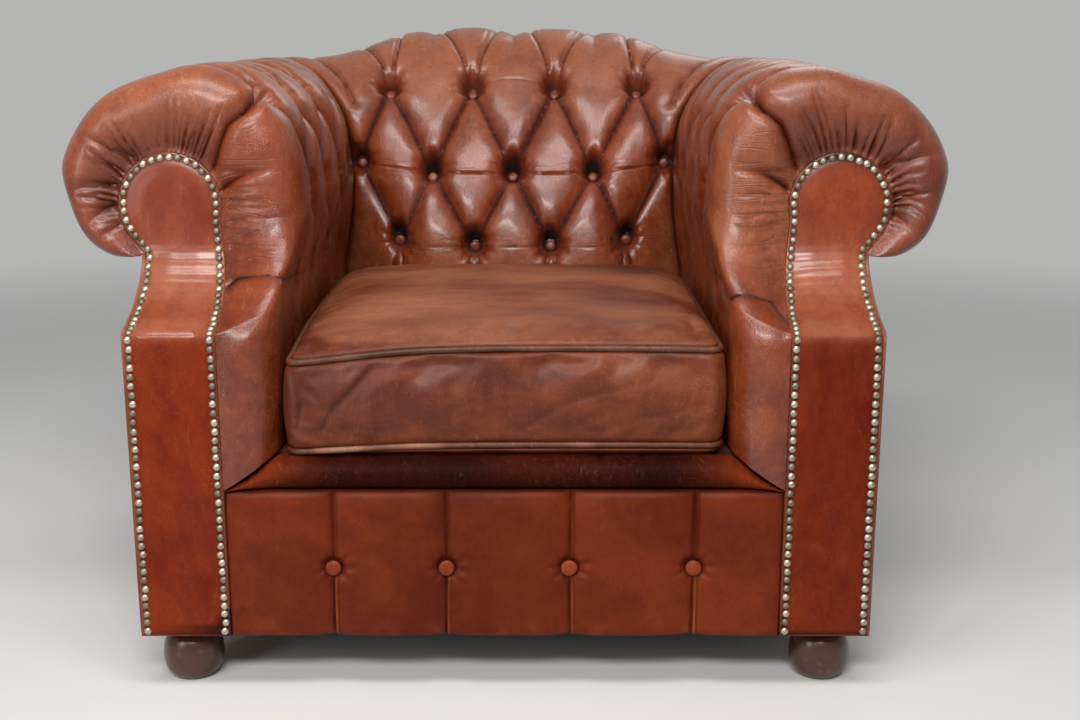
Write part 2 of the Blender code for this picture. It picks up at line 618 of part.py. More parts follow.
def outside_arm(word, side):
    """Flat side cover that runs from the facing to the back, and up under the roll."""
    heights = (FOOT_H, KNEE_Z, 0.446, 0.462, 0.480, 0.498)
    under_roll, rear_y = -0.24, OUTSIDE_BACK_Y - GAP
    outline = [(facing_y(z) + 0.0015, z) for z in heights]
    outline += [(under_roll, heights[-1]), (under_roll, OUTSIDE_TOP), (rear_y, OUTSIDE_TOP), (rear_y, FOOT_H)]
    near, far = ([(side * x, y, z) for y, z in outline] for x in (FACING_OUT + GAP, PANEL_OUT))
    prism(f"outside_arm_{word}", near, far, LEATHER)


for word, side in SIDES:
    outside_arm(word, side)

half = [(PANEL_OUT, FOOT_H), (PANEL_OUT, 0.502), (0.290, 0.504), (0.120, 0.538)]
back_outline = half + [(-x, z) for x, z in reversed(half)]
prism("outside_back", [(x, OUTSIDE_BACK_Y, z) for x, z in back_outline],
      [(x, OUTSIDE_BACK_Y + OUTSIDE_T, z) for x, z in back_outline], LEATHER)

# ---------------------------------------------------------------- front border and lip
BORDER_END = FACING_IN - GAP
BORDER_BACK_Y = POST_FRONT_Y - GAP
BORDER_PLEATS = (-0.200, -0.068, 0.075, 0.220)
BORDER_BUTTON_Z = 0.154
BORDER_FRONT_Y = -0.4305        # front of the border at its edges and pleats
BORDER_PUFF = 0.0055            # how far it swells between them
LIP_Y, LIP_DEPTH = -0.411, 0.0245
LIP_THIN, LIP_FULL = 0.001, 0.0355
LIP_TAPER = 0.0602              # length over which each end of the lip thins out


def front_border():
    """Padded strip across the front with four upright pleats, each held by a button."""
    stops = (-BORDER_END, *BORDER_PLEATS, BORDER_END)
    columns, puffs = [], []
    for a, b in zip(stops, stops[1:]):
        for t, puff in ((0, 0.0), (0.10, 0.6), (0.5, 1.0), (0.90, 0.6)):
            columns.append(a + t * (b - a))
            puffs.append(puff)
    columns.append(stops[-1])
    puffs.append(0.0)
    levels = (FOOT_H, 0.080, BORDER_BUTTON_Z - 0.02, BORDER_BUTTON_Z, BORDER_BUTTON_Z + 0.02, 0.236,
              BORDER_TOP - GAP)
    swell = (0.0, 0.8, 1.0, 0.95, 1.0, 0.8, 0.0)
    outer = np.array([[(x, BORDER_FRONT_Y - BORDER_PUFF * p * full, z) for x, p in zip(columns, puffs)]
                      for z, full in zip(levels, swell)])
    ends = (-BORDER_END, BORDER_END)
    inner = np.array([[(x, BORDER_BACK_Y, z) for x in ends] for z in (levels[0], levels[-1])])
    pad = thick_sheet("front_border", outer, np.zeros(outer.shape[:2]), inner, LEATHER)
    for k, x in enumerate(BORDER_PLEATS):
        button(f"border_button_{k + 1}", seat(pad, (x, BORDER_FRONT_Y, BORDER_BUTTON_Z), (0, -1, 0)))


def front_lip():
    """Rolled edge under the cushion that tapers to a point at each facing."""
    stations = (-BORDER_END, -0.302, -0.262, -0.12, 0.0, 0.12, 0.262, 0.302, BORDER_END)
    verts, n = [], 10
    for x in stations:
        full = min(1.0, (BORDER_END - abs(x)) / LIP_TAPER)
        height = LIP_THIN + LIP_FULL * full ** 1.3
        for k in range(n):
            turn = math.tau * k / n
            verts.append((x, LIP_Y - LIP_DEPTH * math.cos(turn),
                          BORDER_TOP + GAP + height * (0.5 + 0.5 * math.sin(turn))))
    faces = [tuple(range(n)), tuple(range(len(verts) - n, len(verts)))]
    add_mesh("front_lip", verts, faces + ring_walls(len(stations), n), LEATHER)


front_border()
front_lip()

# ---------------------------------------------------------------- cushion and its piping
CUSHION_X = 0.2525
CUSHION_FRONT, CUSHION_REAR = -0.415, 0.0875
PIPING_R = 0.0040
# Corners in turn: which side, front or rear, radius, steps round it, and the turn it begins at.
CORNERS = ((-1, -1, 0.018, 3, 180), (1, -1, 0.018, 3, 270), (1, 1, 0.060, 4, 0), (-1, 1, 0.060, 4, 90))
CROWN = ((0.80, 0.4265), (0.55, 0.4330), (0.28, 0.4360))    # inner rings of the top: size and height
CROWN_TOP = 0.4372


def cushion_outline(inset):
    """Outline of the cushion with tight front corners and round rear ones, and straight sides between."""
    bends = []
    for sx, sy, radius, steps, begin in CORNERS:
        edge_y = CUSHION_FRONT if sy < 0 else CUSHION_REAR
        cx, cy = sx * (CUSHION_X - radius), edge_y - sy * radius
        bend = []
        for k in range(steps + 1):
            a = math.radians(begin + 90 * k / steps)
            bend.append((cx + (radius - inset) * math.cos(a), cy + (radius - inset) * math.sin(a)))
        bends.append(bend)
    points = []
    for bend, following in zip(bends, bends[1:] + bends[:1]):
        (ax, ay), (bx, by) = bend[-1], following[0]
        points += bend + [(ax + t * (bx - ax), ay + t * (by - ay)) for t in (0.2, 0.4, 0.6, 0.8)]
    return points


def slump(x, y):
    """The worn cushion sits lower at its front left corner and crowns along its front edge."""
    corner = math.exp(-((x + CUSHION_X) ** 2 + (y - CUSHION_FRONT) ** 2) / 0.10 ** 2)
    return 0.004 * (1 - (x / CUSHION_X) ** 2) - 0.010 * corner


def ring_at(inset, z, follow):
    return [Vector((x, y, z + follow * slump(x, y))) for x, y in cushion_outline(inset)]


def seat_cushion():
    """Filled leather case: rings from the underside up to the crown, with a groove for each piping."""
    levels = [(0.015, 0.2849, 0), (0.004, 0.2885, 0), (0.0012, 0.2915, 0), (0.0080, 0.2975, 0),
              (0.0002, 0.3035, 0), (-0.0022, 0.330, 0.2), (-0.0028, 0.355, 0.5), (-0.0020, 0.385, 0.8),
              (0.0000, 0.4035, 1),
              (0.0075, 0.4065, 1), (0.0100, 0.4140, 1), (0.018, 0.4185, 0.9)]
    rings = [ring_at(*level) for level in levels]
    centre_y = (CUSHION_FRONT + CUSHION_REAR) / 2
    edge = rings[-1]
    for shrink, z in CROWN:
        rings.append([Vector((p.x * shrink, centre_y + (p.y - centre_y) * shrink, z + 0.5 * slump(p.x, p.y)))
                      for p in edge])
    n = len(edge)
    verts = [p for ring in rings for p in ring]
    top = len(verts)
    verts.append(Vector((0, centre_y, CROWN_TOP)))
    faces = [tuple(range(n))] + ring_walls(len(rings), n)
    faces += [(top - n + k, top - n + (k + 1) % n, top) for k in range(n)]
    add_mesh("seat_cushion", verts, faces, CUSHION_LEATHER)


def piping(name, inset, z, follow):
    """A round cord in leather that follows a seam of the cushion."""
    path = ring_at(inset, z, follow)
    n = len(path)
    sides = 4
    verts, faces = [], []
    for k in range(n):
        ahead = (path[(k + 1) % n] - path[k - 1]).normalized()
        out = ahead.cross(Vector((0, 0, 1))).normalized()
        up = out.cross(ahead).normalized()
        for j in range(sides):
            turn = math.tau * (j + 0.5) / sides
            verts.append(path[k] + PIPING_R * (math.cos(turn) * out + math.sin(turn) * up))
    for k in range(n):
        for j in range(sides):
            a, b = k * sides, ((k + 1) % n) * sides
            faces.append((a + j, a + (j + 1) % sides, b + (j + 1) % sides, b + j))
    add_mesh(name, verts, faces, CUSHION_LEATHER)


seat_cushion()
piping("cushion_piping_top", 0.0038, 0.4102, 1)
piping("cushion_piping_bottom", 0.0010, 0.2975, 0)

# ---------------------------------------------------------------- feet
FOOT_PROFILE = [(0, 0), (0.60, 0), (0.86, 0.14), (1.0, 0.42), (0.96, 0.62), (0.74, 0.80), (0.62, 0.86),
                (0.70, 0.92), (0.70, 1.0), (0, 1.0)]
for end, y in (("front", -FOOT_Y), ("rear", sum(BACK_POST_Y) / 2)):
    for word, side in SIDES:
        profile = [(r * FOOT_R, z * FOOT_H) for r, z in FOOT_PROFILE]
        turned(f"foot_{end}_{word}", profile, 12, FOOT_WOOD, Matrix.Translation((side * FOOT_X, y, 0)))
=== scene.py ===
"""A worn, deep-buttoned leather club chair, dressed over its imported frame.

The sections follow the chair as it is put together: timber, webbing, feet, buttoned back and arms,
facings and nails, outside covers, front border, cushion, buttons. Metres, +Z up, the front faces -Y.
"""
import math

import bmesh
import bpy
import numpy as np
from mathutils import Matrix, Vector, noise


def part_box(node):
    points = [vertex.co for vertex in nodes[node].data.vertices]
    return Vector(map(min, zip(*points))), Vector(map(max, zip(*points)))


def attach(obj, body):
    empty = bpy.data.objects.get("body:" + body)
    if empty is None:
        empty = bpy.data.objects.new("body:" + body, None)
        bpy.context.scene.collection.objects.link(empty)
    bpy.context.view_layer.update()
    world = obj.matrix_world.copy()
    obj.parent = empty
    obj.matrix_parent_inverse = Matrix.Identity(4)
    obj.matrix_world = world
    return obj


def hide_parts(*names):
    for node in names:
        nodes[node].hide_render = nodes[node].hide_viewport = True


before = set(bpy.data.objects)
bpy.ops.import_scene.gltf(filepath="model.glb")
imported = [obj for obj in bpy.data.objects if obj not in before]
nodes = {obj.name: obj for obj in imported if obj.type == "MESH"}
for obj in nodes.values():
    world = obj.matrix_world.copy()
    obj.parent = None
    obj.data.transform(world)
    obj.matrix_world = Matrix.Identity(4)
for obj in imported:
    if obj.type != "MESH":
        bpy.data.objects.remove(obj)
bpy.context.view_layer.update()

# ------------------------------------------------------------------ camera
# A tripod about a metre and a half in front of the chair, at the height of its back, tilted down a little.
camera_data = bpy.data.cameras.new("camera")
camera_data.sensor_width = 36.0
camera_data.lens = 46.67
camera = bpy.data.objects.new("camera", camera_data)
camera.location = (0.041, -1.965, 0.766)
camera.rotation_euler = (math.radians(76.7), 0.0, 0.0)
bpy.context.collection.objects.link(camera)
bpy.context.scene.camera = camera

# ------------------------------------------------------------------ timber frame
# Posts and rails are sawn beech, hidden under the covers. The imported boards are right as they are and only
# get their wood: pale long grain with darker streaks, rough from the saw.
class Socket:
    """Wraps a shader socket so that an expression on values adds its Math nodes."""

    def __init__(self, tree, link):
        self.tree = tree
        self.link = link

    def math(self, operation, other=0.0, swap=False):
        node = self.tree.nodes.new("ShaderNodeMath")
        node.operation = operation
        for socket, value in zip(node.inputs, (other, self) if swap else (self, other)):
            feed(self.tree, socket, value)
        return Socket(self.tree, node.outputs[0])

    def __add__(self, other):
        return self.math("ADD", other)

    def __sub__(self, other):
        return self.math("SUBTRACT", other)

    def __rsub__(self, other):
        return self.math("SUBTRACT", other, swap=True)

    def __mul__(self, other):
        return self.math("MULTIPLY", other)

    __radd__, __rmul__ = __add__, __mul__

    def clamp(self, low=0.0, high=1.0):
        return self.math("MAXIMUM", low).math("MINIMUM", high)


def feed(tree, socket, value):
    """Link a value to a node's socket, or set it there when it is plain."""
    if isinstance(value, Socket):
        tree.links.new(value.link, socket)
    else:
        socket.default_value = (*value, 1.0) if socket.type == "RGBA" else value


def mix_colour(tree, factor, a, b):
    """Mix two colours, each an (r, g, b) or a socket."""
    node = tree.nodes.new("ShaderNodeMix")
    node.data_type = "RGBA"
    for index, value in ((0, factor), (6, a), (7, b)):
        feed(tree, node.inputs[index], value)
    return Socket(tree, node.outputs[2])


class Finish:
    """One material: its shader, and a method that adds any node with its settings and inputs."""

    def __init__(self, name, **values):
        self.material = bpy.data.materials.new(name)
        self.material.use_nodes = True
        self.tree = self.material.node_tree
        self.shader = self.tree.nodes["Principled BSDF"]
        self.set(**values)
        self.place = self.add("ShaderNodeTexCoord", output="Object")

    def set(self, **values):
        """Feed the shader's own sockets, named with _ for a space."""
        for key, value in values.items():
            feed(self.tree, self.shader.inputs[key.replace("_", " ")], value)

    def add(self, kind, settings=None, inputs=None, output=0):
        node = self.tree.nodes.new(kind)
        for key, value in (settings or {}).items():
            setattr(node, key, value)
        for key, value in (inputs or {}).items():
            feed(self.tree, node.inputs[key], value)
        return Socket(self.tree, node.outputs[output])

    def noise(self, scale, detail=3.0, roughness=0.55, stretch=None, distortion=0.0):
        where = self.place
        if stretch:
            where = self.add("ShaderNodeMapping", inputs={"Vector": where, "Scale": stretch})
        return self.add("ShaderNodeTexNoise", inputs={
            "Vector": where, "Scale": scale, "Detail": detail, "Roughness": roughness,
            "Distortion": distortion})

    def band(self, value, low, high):
        """0 below low, 1 above high, smooth between."""
        return self.add("ShaderNodeMapRange", {"interpolation_type": "SMOOTHSTEP"},
                        {"Value": value, "From Min": low, "From Max": high})

    def line(self, value, centre, half_width, core):
        """1 where a value is near its centre, so that a noise draws thin lines."""
        return self.band((value - centre).math("ABSOLUTE"), half_width, core)

    def blend(self, factor, a, b):
        return mix_colour(self.tree, factor, a, b)

    def attribute(self, name):
        return self.add("ShaderNodeAttribute", {"attribute_name": name}, output="Fac")

    def bump(self, height, distance, strength=1.0):
        self.set(Normal=self.add("ShaderNodeBump", inputs={
            "Height": height, "Distance": distance, "Strength": strength}))


def dress(node_name, finish):
    """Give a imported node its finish, in place of the plain one."""
    mesh = nodes[node_name].data
    mesh.materials.clear()
    mesh.materials.append(finish.material)


def beech(long_axis):
    wood = Finish(f"sawn_beech_{long_axis}")
    stretch = [3.0 if axis == long_axis else 55.0 for axis in "xyz"]
    grain = wood.noise(1.0, detail=6.0, stretch=stretch, distortion=0.4)
    streak = wood.add("ShaderNodeMapRange", inputs={"Value": grain, "From Min": 0.30, "From Max": 0.70})
    wood.set(Base_Color=wood.blend(streak, (0.50, 0.31, 0.16), (0.68, 0.48, 0.29)),
             Roughness=0.55 + 0.2 * grain)
    wood.bump(grain, 0.0008)
    return wood


beech_along = [beech(axis) for axis in "xyz"]
for node_name in nodes:
    if "rail" in node_name or "post" in node_name:
        low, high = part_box(node_name)
        spans = list(high - low)
        dress(node_name, beech_along[spans.index(max(spans))])

# ------------------------------------------------------------------ webbing, deck and dust cover
# Jute webbing is woven across the seat rails, a black platform cloth with a border of hide covers the deck on
# top of it, and a black dust cover is tacked under the chair.
jute = Finish("jute_webbing", Roughness=0.95)
warp, weft = [jute.add("ShaderNodeTexWave", {"bands_direction": axis},
                       {"Vector": jute.place, "Scale": 160.0, "Distortion": 0.6}) for axis in "XY"]
jute.set(Base_Color=jute.blend(warp * weft, (0.24, 0.17, 0.09), (0.50, 0.39, 0.24)))
jute.bump(warp + weft, 0.0005)
for node_name in nodes:
    if "webbing" in node_name:
        dress(node_name, jute)

black_cloth = Finish("black_lining", Roughness=0.95)
weave = black_cloth.noise(900.0)
black_cloth.set(Base_Color=black_cloth.blend(weave, (0.010, 0.010, 0.011), (0.035, 0.034, 0.034)))
black_cloth.bump(weave, 0.0004)
dress("dust_cover", black_cloth)

platform = Finish("seat_platform", Roughness=0.7)
across, along = [platform.add("ShaderNodeSeparateXYZ", inputs={"Vector": platform.place}, output=axis)
                 for axis in "XY"]
hide_part = platform.band(along * -1, 0.20, 0.21).math("MAXIMUM",
                                                       platform.band(across.math("ABSOLUTE"), 0.235, 0.240))
platform.set(Base_Color=platform.blend(hide_part, (0.020, 0.019, 0.019), (0.100, 0.014, 0.004)))
dress("seat_deck", platform)


# ------------------------------------------------------------------ feet
# Four turned bun feet in dark polished hardwood: a round bun, a quirk and a short collar, rubbed bare low down.
FOOT_SIDES = 48


def new_piece(name, verts, faces, material, edges=()):
    """A smooth mesh object in the chair's own place."""
    mesh = bpy.data.meshes.new(name)
    mesh.from_pydata(np.asarray(verts, float).reshape(-1, 3).tolist(), edges, faces)
    mesh.materials.append(material)
    mesh.shade_smooth()
    obj = bpy.data.objects.new(name, mesh)
    bpy.context.collection.objects.link(obj)
    return obj


def turn_out(obj, weld=False, sharp=None):
    """Turn a piece's faces outwards, with doubled points joined and edges over an angle sharp if asked."""
    bm = bmesh.new()
    bm.from_mesh(obj.data)
    if weld:
        bmesh.ops.remove_doubles(bm, verts=bm.verts, dist=1e-6)
    bmesh.ops.recalc_face_normals(bm, faces=bm.faces)
    bm.to_mesh(obj.data)
    bm.free()
    if sharp:
        obj.data.set_sharp_from_angle(angle=math.radians(sharp))


def numbered(rows, cols, first=0):
    """The numbers of a grid's points, row by row."""
    return first + np.arange(rows * cols).reshape(rows, cols)


def quads(at, closed=False):
    """Faces between the rows of a grid of point numbers; closed rows meet their own first point."""
    if closed:
        at = np.hstack([at, at[:, :1]])
    return np.stack([at[:-1, :-1], at[:-1, 1:], at[1:, 1:], at[1:, :-1]], axis=-1).reshape(-1, 4).tolist()


def lathe(name, profile, sides, material, centre=(0.0, 0.0), sharp=None):
    """A round piece turned about an upright line from (radius, height) pairs."""
    turns = np.arange(sides) * math.tau / sides
    verts = [(centre[0] + r * math.cos(a), centre[1] + r * math.sin(a), z) for r, z in profile for a in turns]
    piece = new_piece(name, verts, quads(numbered(len(profile), sides), closed=True), material)
    turn_out(piece, weld=True, sharp=sharp)
    return piece


def arc(centre, radii, degrees):
    """Points (along, up) of an arc about a centre."""
    return [(centre[0] + radii[0] * math.cos(a), centre[1] + radii[1] * math.sin(a))
            for a in np.radians(degrees)]


def finish_piece(obj, slot, *replaced):
    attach(obj, "root")
    if replaced:
        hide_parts(*replaced)


polished = Finish("dark_polished_foot", Coat_Weight=0.25, Coat_Roughness=0.2)
foot_grain = polished.noise(1.0, detail=5.0, stretch=(22.0, 22.0, 60.0))
scuff = polished.band(polished.noise(90.0, detail=4.0), 0.60, 0.72)
foot_colour = polished.blend(foot_grain, (0.030, 0.008, 0.005), (0.105, 0.026, 0.014))
polished.set(Base_Color=polished.blend(scuff * 0.5, foot_colour, (0.19, 0.085, 0.045)),
             Roughness=0.28 + 0.25 * scuff)

# The profile is in shares of the bun's radius and the foot's height.
FOOT_PROFILE = [(0.0, 0.0), (0.52, 0.0), (0.60, 0.02), *arc((0.60, 0.40), (0.40, 0.38), range(-75, 1, 15)),
                *arc((0.70, 0.40), (0.30, 0.42), range(12, 91, 13)),
                (0.62, 0.825), (0.60, 0.85), (0.62, 0.875), (0.70, 0.89), (0.72, 0.93), (0.72, 0.995),
                (0.0, 0.995)]
for end in ("front", "rear"):
    for word in ("left", "right"):
        low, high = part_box(f"foot_{end}_{word}")
        radius, tall = (high.y - low.y) / 2, high.z - low.z
        foot = lathe(f"bun_foot_{end}_{word}", [(radius * r, tall * z) for r, z in FOOT_PROFILE], FOOT_SIDES,
                     polished.material, ((low.x + high.x) / 2, (low.y + high.y) / 2), sharp=40)
        finish_piece(foot, "foot_wood", f"foot_{end}_{word}")

# ------------------------------------------------------------------ inside back
# One hide stretched over horsehair and pulled in by thirteen buttons on twine. The folds between the buttons
# make diamonds, narrow tucks run over the roll, and upright ones go down behind the cushion.
STATION_ROWS = (0, 3, 6, 9, 12, 16, 19)       # foot, low, middle and top buttons, crest, rim, tuck
MITRE = 0.0876                                # the corners of back and arms meet on y = |x| - MITRE
GAP = 0.0003
ARM_OUTLINE = [(.2620, .290), (.2585, .350), (.2560, .410), (.2480, .460), (.2410, .515), (.2400, .570),
               (.2520, .640), (.2850, .690), (.3300, .717), (.3700, .7235), (.4100, .715), (.4550, .700),
               (.4795, .685), (.5005, .662), (.5175, .633), (.5260, .606), (.5210, .575), (.5120, .5445),
               (.4975, .519), (.4750, .500), (.4500, .490)]
ARM_STATIONS = [(.2620, .290), (.2480, .460), (.2400, .570), (.2850, .690), (.3700, .7235), (.5260, .606),
                (.4500, .490)]
ARM_CORE = [(.3100, .293), (.3100, .463), (.3340, .555), (.3450, .583), (.3900, .585), (.4240, .565),
            (.4255, .528)]
BACK_OUTLINE = [(.1000, .290), (.0930, .380), (.0920, .452), (.1080, .510), (.1350, .565), (.1700, .620),
                (.2050, .670), (.2400, .715), (.2850, .752), (.3350, .7670), (.3850, .752), (.4220, .712),
                (.4384, .660), (.4310, .605), (.4050, .560), (.3720, .530)]
BACK_STATIONS = [(.1000, .290), (.0920, .452), (.1350, .565), (.2150, .683), (.3350, .7670), (.4384, .660),
                 (.3720, .530)]
BACK_CORE = [(.1480, .290), (.1400, .452), (.1800, .540), (.2620, .583), (.3150, .587), (.3440, .568),
             (.3440, .556)]
PAD_EDGE = 0.0075               # how far a pad rounds over into a sewn joint
BACK_END, BACK_FIXED = 15.0, 9.0              # columns to the mitre; the inner ones keep the button spacing
PITCH = 0.1225
BACK_PULL = {3: 0.035, 6: 0.038, 9: 0.033}    # how deep the buttons of each row are pulled in


def unit(value):
    return np.clip(value, 0, 1)


def bell(value):
    return np.exp(-value ** 2)


def round_over(value):
    """A quarter circle: 1 at the edge (value 1), and 0 where it has run out flat."""
    return 1 - np.sqrt(1 - value ** 2)


def ease(value):
    return value * value * (3 - 2 * value)


def read(at, places, table):
    """Straight-line reading of a table of points at some places along it."""
    return np.stack([np.interp(at, places, column) for column in np.array(table, float).T], axis=-1)


def lengths(path):
    """Length along a path up to each of its points."""
    return np.concatenate([[0], np.cumsum(np.linalg.norm(np.diff(path, axis=0), axis=1))])


class Section:
    """A smooth side view of a pad, read by row: a station's row gives that station's point."""

    def __init__(self, outline, stations):
        p = np.array(outline, float)
        p = np.vstack([2 * p[0] - p[1], p, 2 * p[-1] - p[-2]])
        t = np.linspace(0, 1, 24, endpoint=False)[:, None]
        spans = [0.5 * (2 * b + (c - a) * t + (2 * a - 5 * b + 4 * c - d) * t ** 2
                        + (3 * b - a - 3 * c + d) * t ** 3)
                 for a, b, c, d in zip(p, p[1:], p[2:], p[3:])]
        self.curve = np.vstack([*spans, p[-2:-1]])
        self.length = lengths(self.curve)
        self.marks = [self.length[np.argmin(np.linalg.norm(self.curve - np.array(s), axis=1))]
                      for s in stations]

    def along(self, row):
        return np.interp(row, STATION_ROWS, self.marks)

    def point(self, row, shift=0.0):
        return read(np.clip(self.along(row) + shift, 0, self.length[-1]), self.length, self.curve)

    def normal(self, row):
        tangent = self.point(row, 0.012) - self.point(row, -0.012)
        tangent /= np.linalg.norm(tangent, axis=-1, keepdims=True)
        return np.stack([-tangent[..., 1], tangent[..., 0]], axis=-1)


arm_section = Section(ARM_OUTLINE, ARM_STATIONS)
back_section = Section(BACK_OUTLINE, BACK_STATIONS)


def to_fold(s, t, path):
    """Distance to a fold along a path, signed from one side to the other, and how far along it, 0 to 1."""
    path = np.array(path, float)
    begin = lengths(path)
    nearest, signed, near = np.full_like(s, np.inf), np.zeros_like(s), np.zeros_like(s)
    for start, end, before in zip(path, path[1:], begin):
        size = np.linalg.norm(end - start)
        run = (end - start) / size
        ds, dt = s - start[0], t - start[1]
        along = size * unit((ds * run[0] + dt * run[1]) / size)
        distance = np.hypot(ds - along * run[0], dt - along * run[1])
        closer = distance < nearest
        nearest = np.where(closer, distance, nearest)
        signed = np.where(closer, run[0] * dt - run[1] * ds, signed)
        near = np.where(closer, (before + along) / begin[-1], near)
    return nearest, signed, near


def tufting(s, t, pits, folds, full=0.019, hood=0.62):
    """How far the hide is pulled in, and how dark its folds and pits are painted as their shade.

    pits are (s, t, pull, hole): pull shapes the dimple, which reaches further up than down by 1 / hood, and
    hole is the extra depth of the hollow over the button, which is painted dark as its shade. folds are (path,
    strength, reach, fade): the hide swells like a pillow between them, lies over on one side of each because it
    is tucked one way, and a fold with fade 1 dies out at its end. Each fold is painted dark along its line as
    shade.
    """
    swell, crease, lap = np.ones_like(s), np.zeros_like(s), np.zeros_like(s)
    for path, strength, reach, fade in folds:
        distance, signed, near = to_fold(s, t, path)
        side = np.tanh(signed / 0.0030) * np.sqrt(4 * near * (1 - near))
        local = strength * (1 - fade * near * near)
        soft = np.sqrt(distance ** 2 + 0.0011 ** 2) - 0.0011
        u = unit(soft / (reach * (1.0 + 0.22 * side)))
        swell *= 1 - local * (1 - np.sqrt(unit(1 - (1 - u) ** 2)))
        lap += 0.0018 * local ** 2 * side * np.exp(-distance / 0.010)
        # Painted shade along each fold.
        crease = np.maximum(crease, local * np.exp(-(distance / 0.0032) ** 1.3))
    groove = full * (1 - swell)
    pit, hollow = np.zeros_like(s), np.zeros_like(s)
    for k, (ps, pt, pull, hole) in enumerate(pits):
        ds, dt = s - ps, t - pt
        r = np.hypot(ds, dt * np.where(dt > 0, hood, 1.05))
        gather = 0.0013 * bell((r - 0.020) / 0.009) * np.cos(9 * np.arctan2(dt, ds) + 1.7 * k)
        pit = np.maximum(pit, pull * np.minimum(1.0, 1.22 / (1 + (r / 0.0142) ** 3)) + gather)
        inside = np.exp(-((ds / 0.0128) ** 2 + ((dt - 0.014) / 0.0170) ** 2) ** 1.5) * (hole > 0)
        hollow = np.maximum(hollow, hole * inside)
        # Painted shade round each button, and darker still in the hollow above it.
        dark = np.maximum(0.9 * np.exp(-(r / 0.0150) ** 4), 1.35 * min(1.0, hole / 0.012) * inside)
        crease = np.maximum(crease, dark)
    return (groove ** 4 + np.maximum(pit, 0) ** 4) ** 0.25 + lap + hollow, np.clip(crease, 0, 1.2)


def lumps(points, scale, seed):
    """Smooth unevenness of the stuffing, between -1 and 1."""
    shift = Vector((seed * 7.31, seed * 3.17, seed * 5.73))
    values = [noise.noise(Vector(p) * scale + shift) for p in points.reshape(-1, 3)]
    return np.array(values).reshape(points.shape[:-1])


def join_rows(a, b, verts):
    """Triangles between two rows of vertices with different counts, always across the shorter way."""
    faces, i, j = [], 0, 0
    while i < len(a) - 1 or j < len(b) - 1:
        along_a = np.linalg.norm(verts[a[i + 1]] - verts[b[j]]) if i < len(a) - 1 else math.inf
        along_b = np.linalg.norm(verts[a[i]] - verts[b[j + 1]]) if j < len(b) - 1 else math.inf
        if along_a <= along_b:
            faces.append((int(a[i]), int(a[i + 1]), int(b[j])))
            i += 1
        else:
            faces.append((int(a[i]), int(b[j + 1]), int(b[j])))
            j += 1
    return faces


def add_attributes(obj, **attributes):
    """Numbers per vertex, which the leather reads; vertices past the last value get 0."""
    for name, values in attributes.items():
        padded = np.zeros(len(obj.data.vertices), np.float32)
        padded[:values.size] = values.ravel()
        obj.data.attributes.new(name, "FLOAT", "POINT").data.foreach_set("value", padded)


def stuffed_pad(name, node_name, outer, core, material, **attributes):
    """A closed pad: the fine outer grid, a coarse grid on the frame side, and the edges turned in."""
    a = numbered(*outer.shape[:2])
    b = numbered(*core.shape[:2], first=a.size)
    verts = np.vstack([outer.reshape(-1, 3), core.reshape(-1, 3)])
    faces = quads(a) + quads(b)
    for edge_a, edge_b in ((a[0], b[0]), (a[-1], b[-1]), (a[:, 0], b[:, 0]), (a[:, -1], b[:, -1])):
        faces += join_rows(edge_a, edge_b, verts)
    pad = new_piece(name, verts, faces, material)
    turn_out(pad, sharp=60)
    add_attributes(pad, **attributes)
    finish_piece(pad, "leather", node_name)


